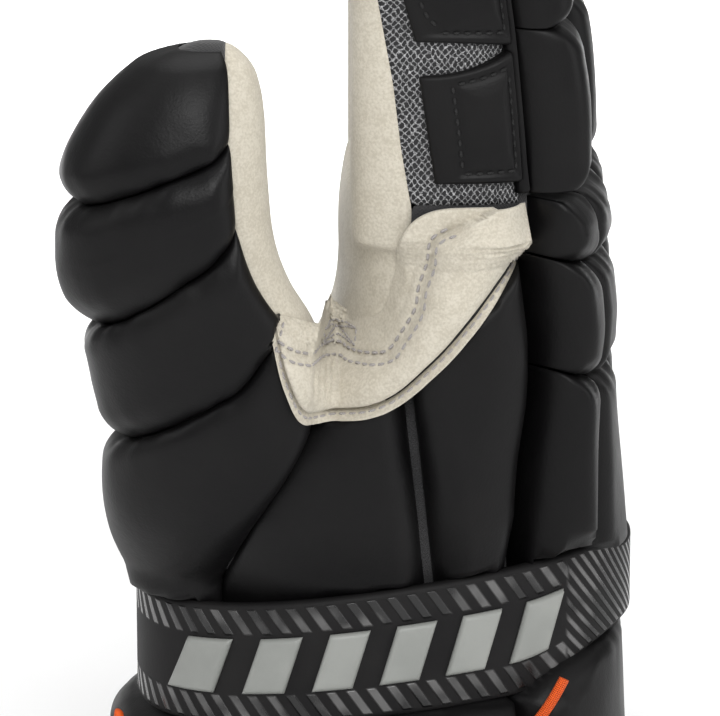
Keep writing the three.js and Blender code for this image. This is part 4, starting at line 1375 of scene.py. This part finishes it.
strapSheet(strapBand, "strap_band", rubber, "rubber")
strapSheet(strapWebbing, "strap_webbing", webbingMaterial, "webbing")

barLook = {
    "middle": -10.5,
    "pitch": 18.4,
    "width": 11.0,
    "tall": 15.0,
    "lean": 5.0,
    "low": 0.27,
    "high": 0.72,
    "height": 1.7,
    "round": 1.4,
}


def strapAngle(along):
    share = clamp(along / strap["halfLong"], -0.999, 0.999)
    return -math.degrees(math.acos(math.copysign(abs(share) ** (strap["power"] / 2), share)))


for bar in range(strap["bars"]):
    name = f"strap_bar_{bar + 1}"
    middle = barLook["middle"] + (bar - (strap["bars"] - 1) / 2) * barLook["pitch"]
    shares = even(14, 0.6)

    def barSpot(j, i, middle=middle):
        u, v = shares[i], shares[j]
        angle = strapAngle(middle + barLook["width"] * (u - 0.5) + barLook["lean"] * (v - 0.5))
        up = mix(barLook["low"], barLook["high"], v)
        side = min(min(u, 1 - u) * barLook["width"], min(v, 1 - v) * barLook["tall"])
        lift = barLook["height"] - edgeDrop(side, barLook["round"], 1.1)
        flat = (u * barLook["width"] / 1000, v * barLook["tall"] / 1000)
        return strapPoint(angle, up, lift), strapPoint(angle, up, 0.05), flat

    bm = closedPatch(*gridsOf(len(shares), len(shares), barSpot))
    finishPiece(name + "_body", bm, barMaterial, "bar", [name])
print("strap made")

lace = {"seams": [-164, -50, 62, 116], "spread": 12.0, "drop": 26.0, "wide": 1.9, "thick": 1.2}


# Flattened closed tube along a path of points; outward gives each point's facing.
def tubeAlong(path, outward, wide, thick, sides):
    bm = bmesh.new()
    layer = bm.loops.layers.uv.new("flat")
    rings = []
    run = lengths(path)
    uvOf = {}
    for i, point in enumerate(path):
        here = Vector(point)
        before = Vector(path[max(i - 1, 0)])
        after = Vector(path[min(i + 1, len(path) - 1)])
        along = (after - before).normalized()
        out = (outward[i] - along * outward[i].dot(along)).normalized()
        side = along.cross(out)
        ring = []
        for k in range(sides):
            turn = 2 * math.pi * k / sides
            spot = here + side * (wide * math.cos(turn)) + out * (thick * math.sin(turn))
            vert = bm.verts.new(place(*spot))
            uvOf[vert] = (run[i] / 1000, k / sides * 0.0088)
            ring.append(vert)
        rings.append(ring)
    for low, high in zip(rings, rings[1:]):
        for k in range(sides):
            m = (k + 1) % sides
            face = bm.faces.new((low[k], low[m], high[m], high[k]))
            for loop in face.loops:
                loop[layer].uv = uvOf[loop.vert]
    bm.faces.new(rings[0][::-1])
    bm.faces.new(rings[-1])
    bmesh.ops.recalc_face_normals(bm, faces=bm.faces[:])
    return bm


def cuffLift(angle):
    turned = angle % 360
    for piece in cuffPieces:
        share = ((turned - piece["start"]) % 360) / (piece["end"] - piece["start"])
        if share <= 1:
            return pads["cuff"] * mix(0.45, 1, swell(min(share, 1 - share) * 100, 13.0))
    return pads["cuff"]


for index, seam in enumerate(lace["seams"]):
    path, outward = [], []
    top = strapPoint(seam, 0, 0)[2] - 1.2
    for i in range(41):
        share = i / 40
        angle = seam + lace["spread"] * (0.5 - share)
        z = top - lace["drop"] * share
        lift = cuffLift(angle) + 0.6
        near = limbPoint(handSection, angle, z, lift)
        far = limbPoint(handSection, angle, z, lift + 4)
        path.append(near)
        outward.append(Vector(far) - Vector(near))
    name = f"lace_{index + 1}"
    bm = tubeAlong(path, outward, lace["wide"], lace["thick"], 12)
    finishPiece(name + "_cord", bm, laceMaterial, "lace", [name])
print("cuff and laces made")


# Side patches and piping of the index finger.

patchRows = [
    dict(name="index_patch_lower", frontX=(20, 16), low=(212, 212), high=(241, 247.5)),
    dict(name="index_patch_upper", frontX=(15, 9.5), low=(250.5, 249.2), high=(272, 278)),
    dict(name="index_patch_tip", frontX=(9.5, 9.5), low=(276, 280), high=(296, 298)),
]
patchLook = {"thick": 4.0, "round": 1.6, "inset": 3.1}


def patchPoint(row, u, v, lift):
    z = mix(mix(row["low"][0], row["low"][1], u), mix(row["high"][0], row["high"][1], u), v)
    section = fingerSections["index"]
    front = frontAngle(section, mix(row["frontX"][0], row["frontX"][1], v), z)
    return limbPoint(section, mix(front, -45.2, u), z, lift)


def patchSize(row):
    wide = math.dist(patchPoint(row, 0, 0.5, 2), patchPoint(row, 1, 0.5, 2))
    tall = math.dist(patchPoint(row, 0.5, 0, 2), patchPoint(row, 0.5, 1, 2))
    return wide, tall


for row in patchRows:
    shares = even(40, 0.5)
    wide, tall = patchSize(row)

    def patchSpot(j, i, row=row, wide=wide, tall=tall):
        u, v = shares[i], shares[j]
        side = min(min(u, 1 - u) * wide, min(v, 1 - v) * tall)
        dent = 0.9 * math.exp(-(((side - patchLook["inset"]) / 0.9) ** 2))
        puff = 1.1 * smooth(patchLook["inset"], patchLook["inset"] + 6, side)
        lift = patchLook["thick"] - edgeDrop(side, patchLook["round"], 1.6) - dent + puff
        return patchPoint(row, u, v, lift), patchPoint(row, u, v, 0.5), (u * wide / 1000, v * tall / 1000)

    bm = closedPatch(*gridsOf(len(shares), len(shares), patchSpot))
    finishPiece(row["name"] + "_cover", bm, padding, "padding", [row["name"]])

addPad(
    "index_piping",
    fingerSections["index"],
    dict(
        start=lambda z: -44.0,
        end=lambda z: -36.7,
        low=lambda u: fingers[0]["grooves"][0] * length,
        high=lambda u: 0.925 * length,
        thick=lambda u, z: 4.6,
        edges=dict(left=(2.4, 2.6), right=(2.4, 2.6), low=(2.5, 2.5), high=(2.5, 2.5)),
        wide=16,
        tall=120,
        crown=0.0,
        noise=0.2,
    ),
)
print("patches made")


# Stitches: short rounded threads along lines on the surfaces.


# Rings of a stitch: place along it, size and height, as shares of its length and radius.
stitchRings = [(0, 0.35, -0.5), (0.15, 0.85, 0.1), (0.5, 1.0, 0.35), (0.85, 0.85, 0.1), (1, 0.35, -0.5)]


def stitchesInto(bm, path, outward, long, gap, radius, sides=6):
    run = lengths(path)
    start = gap / 2

    def at(distance):
        for i in range(len(run) - 1):
            if distance <= run[i + 1]:
                share = (distance - run[i]) / max(run[i + 1] - run[i], 1e-9)
                spot = Vector(path[i]).lerp(Vector(path[i + 1]), share)
                return spot, outward[i].lerp(outward[i + 1], share)
        return Vector(path[-1]), outward[-1]

    while start + long < run[-1]:
        rings = []
        for share, size, rise in stitchRings:
            here, out = at(start + long * share)
            nextSpot, _ = at(start + long * min(share + 0.1, 1))
            lastSpot, _ = at(start + long * max(share - 0.1, 0))
            along = (nextSpot - lastSpot).normalized()
            out = (out - along * out.dot(along)).normalized()
            side = along.cross(out)
            ring = []
            for k in range(sides):
                turn = 2 * math.pi * k / sides
                across = (side * math.cos(turn) + out * math.sin(turn)) * radius * size
                spot = here + out * (rise * radius) + across
                ring.append(bm.verts.new(place(*spot)))
            rings.append(ring)
        for low, high in zip(rings, rings[1:]):
            for k in range(sides):
                m = (k + 1) % sides
                bm.faces.new((low[k], low[m], high[m], high[k]))
        bm.faces.new(rings[0][::-1])
        bm.faces.new(rings[-1])
        start += long + gap


towardCamera = Vector((0, -1, 0.15)).normalized()


# Points given as X and Z, laid on the web leather.
def onWeb(points, lift):
    line = []
    for x, z in points:
        hit, _, _, _ = webTree.ray_cast(place(x, -200, z), Vector((0, 1, 0)))
        if hit is not None:
            spot = toGlove(hit)
            line.append((spot[0], spot[1] - lift, spot[2]))
    return line


# Smooth run of points through corners.
def curve(points, steps):
    result = []
    for i in range(len(points) - 1):
        a, b, c, d = (Vector(points[min(max(i + k, 0), len(points) - 1)]) for k in (-1, 0, 1, 2))
        for step in range(steps):
            t = step / steps
            square = (2 * a - 5 * b + 4 * c - d) * t * t
            cube = (3 * b - a - 3 * c + d) * t**3
            result.append(tuple(0.5 * (2 * b + (c - a) * t + square + cube)))
    result.append(tuple(points[-1]))
    return result


def aside(points, by):
    moved = []
    for i, (x, z) in enumerate(points):
        before = points[max(i - 1, 0)]
        after = points[min(i + 1, len(points) - 1)]
        dx, dz = after[0] - before[0], after[1] - before[1]
        size = math.hypot(dx, dz)
        moved.append((x - dz / size * by, z + dx / size * by))
    return moved


# Line on the web leather at a distance from its free edge.
def webInset(distance, startU, endU):
    points = []
    for i, u in enumerate(webU):
        if startU <= u <= endU:
            column = webRise[i]
            j = next(k for k in range(len(column) - 1) if column[k + 1] >= distance)
            share = (distance - column[j]) / (column[j + 1] - column[j])
            a, b = webGrid[j][i], webGrid[j + 1][i]
            points.append((mix(a[0], b[0], share), mix(a[2], b[2], share)))
    return points


bm = bmesh.new()
for by in (-1.1, 1.1):
    line = onWeb(curve(aside(webSeam[1:], by), 8), 0.05)
    stitchesInto(bm, line, [towardCamera] * len(line), 2.3, 0.9, 0.46)
line = onWeb(webInset(2.0, 0.05, 0.97), 0.05)
stitchesInto(bm, line, [towardCamera] * len(line), 2.3, 0.8, 0.36)
leftEdge = [(webGrid[j][6][0], webGrid[j][6][2]) for j in range(4, len(webV) - 8, 2)]
line = onWeb(leftEdge, 0.05)
stitchesInto(bm, line, [towardCamera] * len(line), 2.2, 0.8, 0.36)
boxCorners = [(-9.6, 167.0), (-1.0, 167.6), (-1.4, 163.6), (-9.8, 164.2)]
for k, m in ((0, 1), (1, 2), (2, 3), (3, 0), (0, 2), (1, 3)):
    a, b = boxCorners[k], boxCorners[m]
    line = onWeb([(mix(a[0], b[0], t), mix(a[1], b[1], t)) for t in even(20)], 0.05)
    stitchesInto(bm, line, [towardCamera] * len(line), 1.5, 0.5, 0.33)
bmesh.ops.recalc_face_normals(bm, faces=bm.faces[:])
finishPiece("web_stitches", bm, paleThread, "leather")

# A dark lining strip laid on the leather along the groove under the free lip: the black fabric seen in the
# gap together with painted shade in the groove.
line = onWeb(webInset(3.1, 0.47, 0.95), 0.25)
finishPiece("web_gap_fabric_and_shade", tubeAlong(line, [towardCamera] * len(line), 0.75, 0.35, 8), lining, "lining")

bm = bmesh.new()
for row in patchRows:
    shares = span(0, 1, 24)
    wide, tall = patchSize(row)
    eu = patchLook["inset"] / wide
    ev = patchLook["inset"] / tall
    lines = [
        [(mix(eu, 1 - eu, s), ev) for s in shares],
        [(1 - eu, mix(ev, 1 - ev, s)) for s in shares],
        [(mix(1 - eu, eu, s), 1 - ev) for s in shares],
        [(eu, mix(1 - ev, ev, s)) for s in shares],
    ]
    for points in lines:
        line = [patchPoint(row, u, v, patchLook["thick"] - 0.75) for u, v in points]
        stitchesInto(bm, line, [towardCamera] * len(line), 1.9, 1.0, 0.46)
bmesh.ops.recalc_face_normals(bm, faces=bm.faces[:])
finishPiece("patch_stitches", bm, darkThread, "padding")
print("stitches made")


# Floor, light and camera.


def makeBackdrop():
    material, tree = newMaterial("backdrop")
    cloud = noiseOf(tree, objectSpot(tree), 3.0, 2.0)
    colour = blendColour(tree, cloud, (0.86, 0.86, 0.86), (0.88, 0.88, 0.88))
    shade(tree, colour, 0.9, bump(tree, cloud, 0.0001, 0.1))
    return material


bm = bmesh.new()
bmesh.ops.create_grid(bm, x_segments=1, y_segments=1, size=7.0)
for vert in bm.verts:
    vert.co.z = -0.0002
mesh = bpy.data.meshes.new("backdrop")
bm.to_mesh(mesh)
bm.free()
backdrop = bpy.data.objects.new("backdrop", mesh)
backdrop.data.materials.append(makeBackdrop())
bpy.context.scene.collection.objects.link(backdrop)

world = bpy.data.worlds.new("studio")
world.use_nodes = True
world.node_tree.nodes["Background"].inputs[0].default_value = (1, 1, 1, 1)
world.node_tree.nodes["Background"].inputs[1].default_value = 0.32
bpy.context.scene.world = world


def areaLight(name, spot, aim, size, power, spread=180):
    data = bpy.data.lights.new(name, "AREA")
    data.shape = "RECTANGLE"
    data.size = size[0]
    data.size_y = size[1]
    data.energy = power
    data.spread = math.radians(spread)
    light = bpy.data.objects.new(name, data)
    light.location = spot
    light.rotation_euler = (Vector(aim) - Vector(spot)).to_track_quat("-Z", "Y").to_euler()
    bpy.context.scene.collection.objects.link(light)


areaLight("key", (0.15, -1.5, 1.15), (0, 0, 0.17), (0.9, 0.7), 20)
areaLight("left", (-1.3, -0.5, 0.9), (0, 0, 0.17), (0.6, 0.9), 4.5)
areaLight("right", (1.3, -0.7, 0.5), (0, 0, 0.17), (0.5, 1.1), 5.5)
areaLight("top", (0.0, 0.2, 1.6), (0, 0, 0.17), (1.4, 1.4), 14)
areaLight("back", (0.0, 2.3, 1.7), (0, 2.3, 0), (3.0, 2.6), 85, 80)

camera = bpy.data.cameras.new("camera")
camera.sensor_fit = "HORIZONTAL"
camera.sensor_width = 36.0
camera.lens = 240.7
camera.clip_end = 20.0
cameraObject = bpy.data.objects.new("camera", camera)
aim = Vector((0.002022, -0.051599, 0.1615))
cameraObject.location = aim + Vector((0, -1.3 * math.cos(math.radians(15)), 1.3 * math.sin(math.radians(15))))
cameraObject.rotation_euler = (aim - cameraObject.location).to_track_quat("-Z", "Y").to_euler()
bpy.context.scene.collection.objects.link(cameraObject)
bpy.context.scene.camera = cameraObject
bpy.context.scene.view_settings.view_transform = "Standard"

print("scene ready")
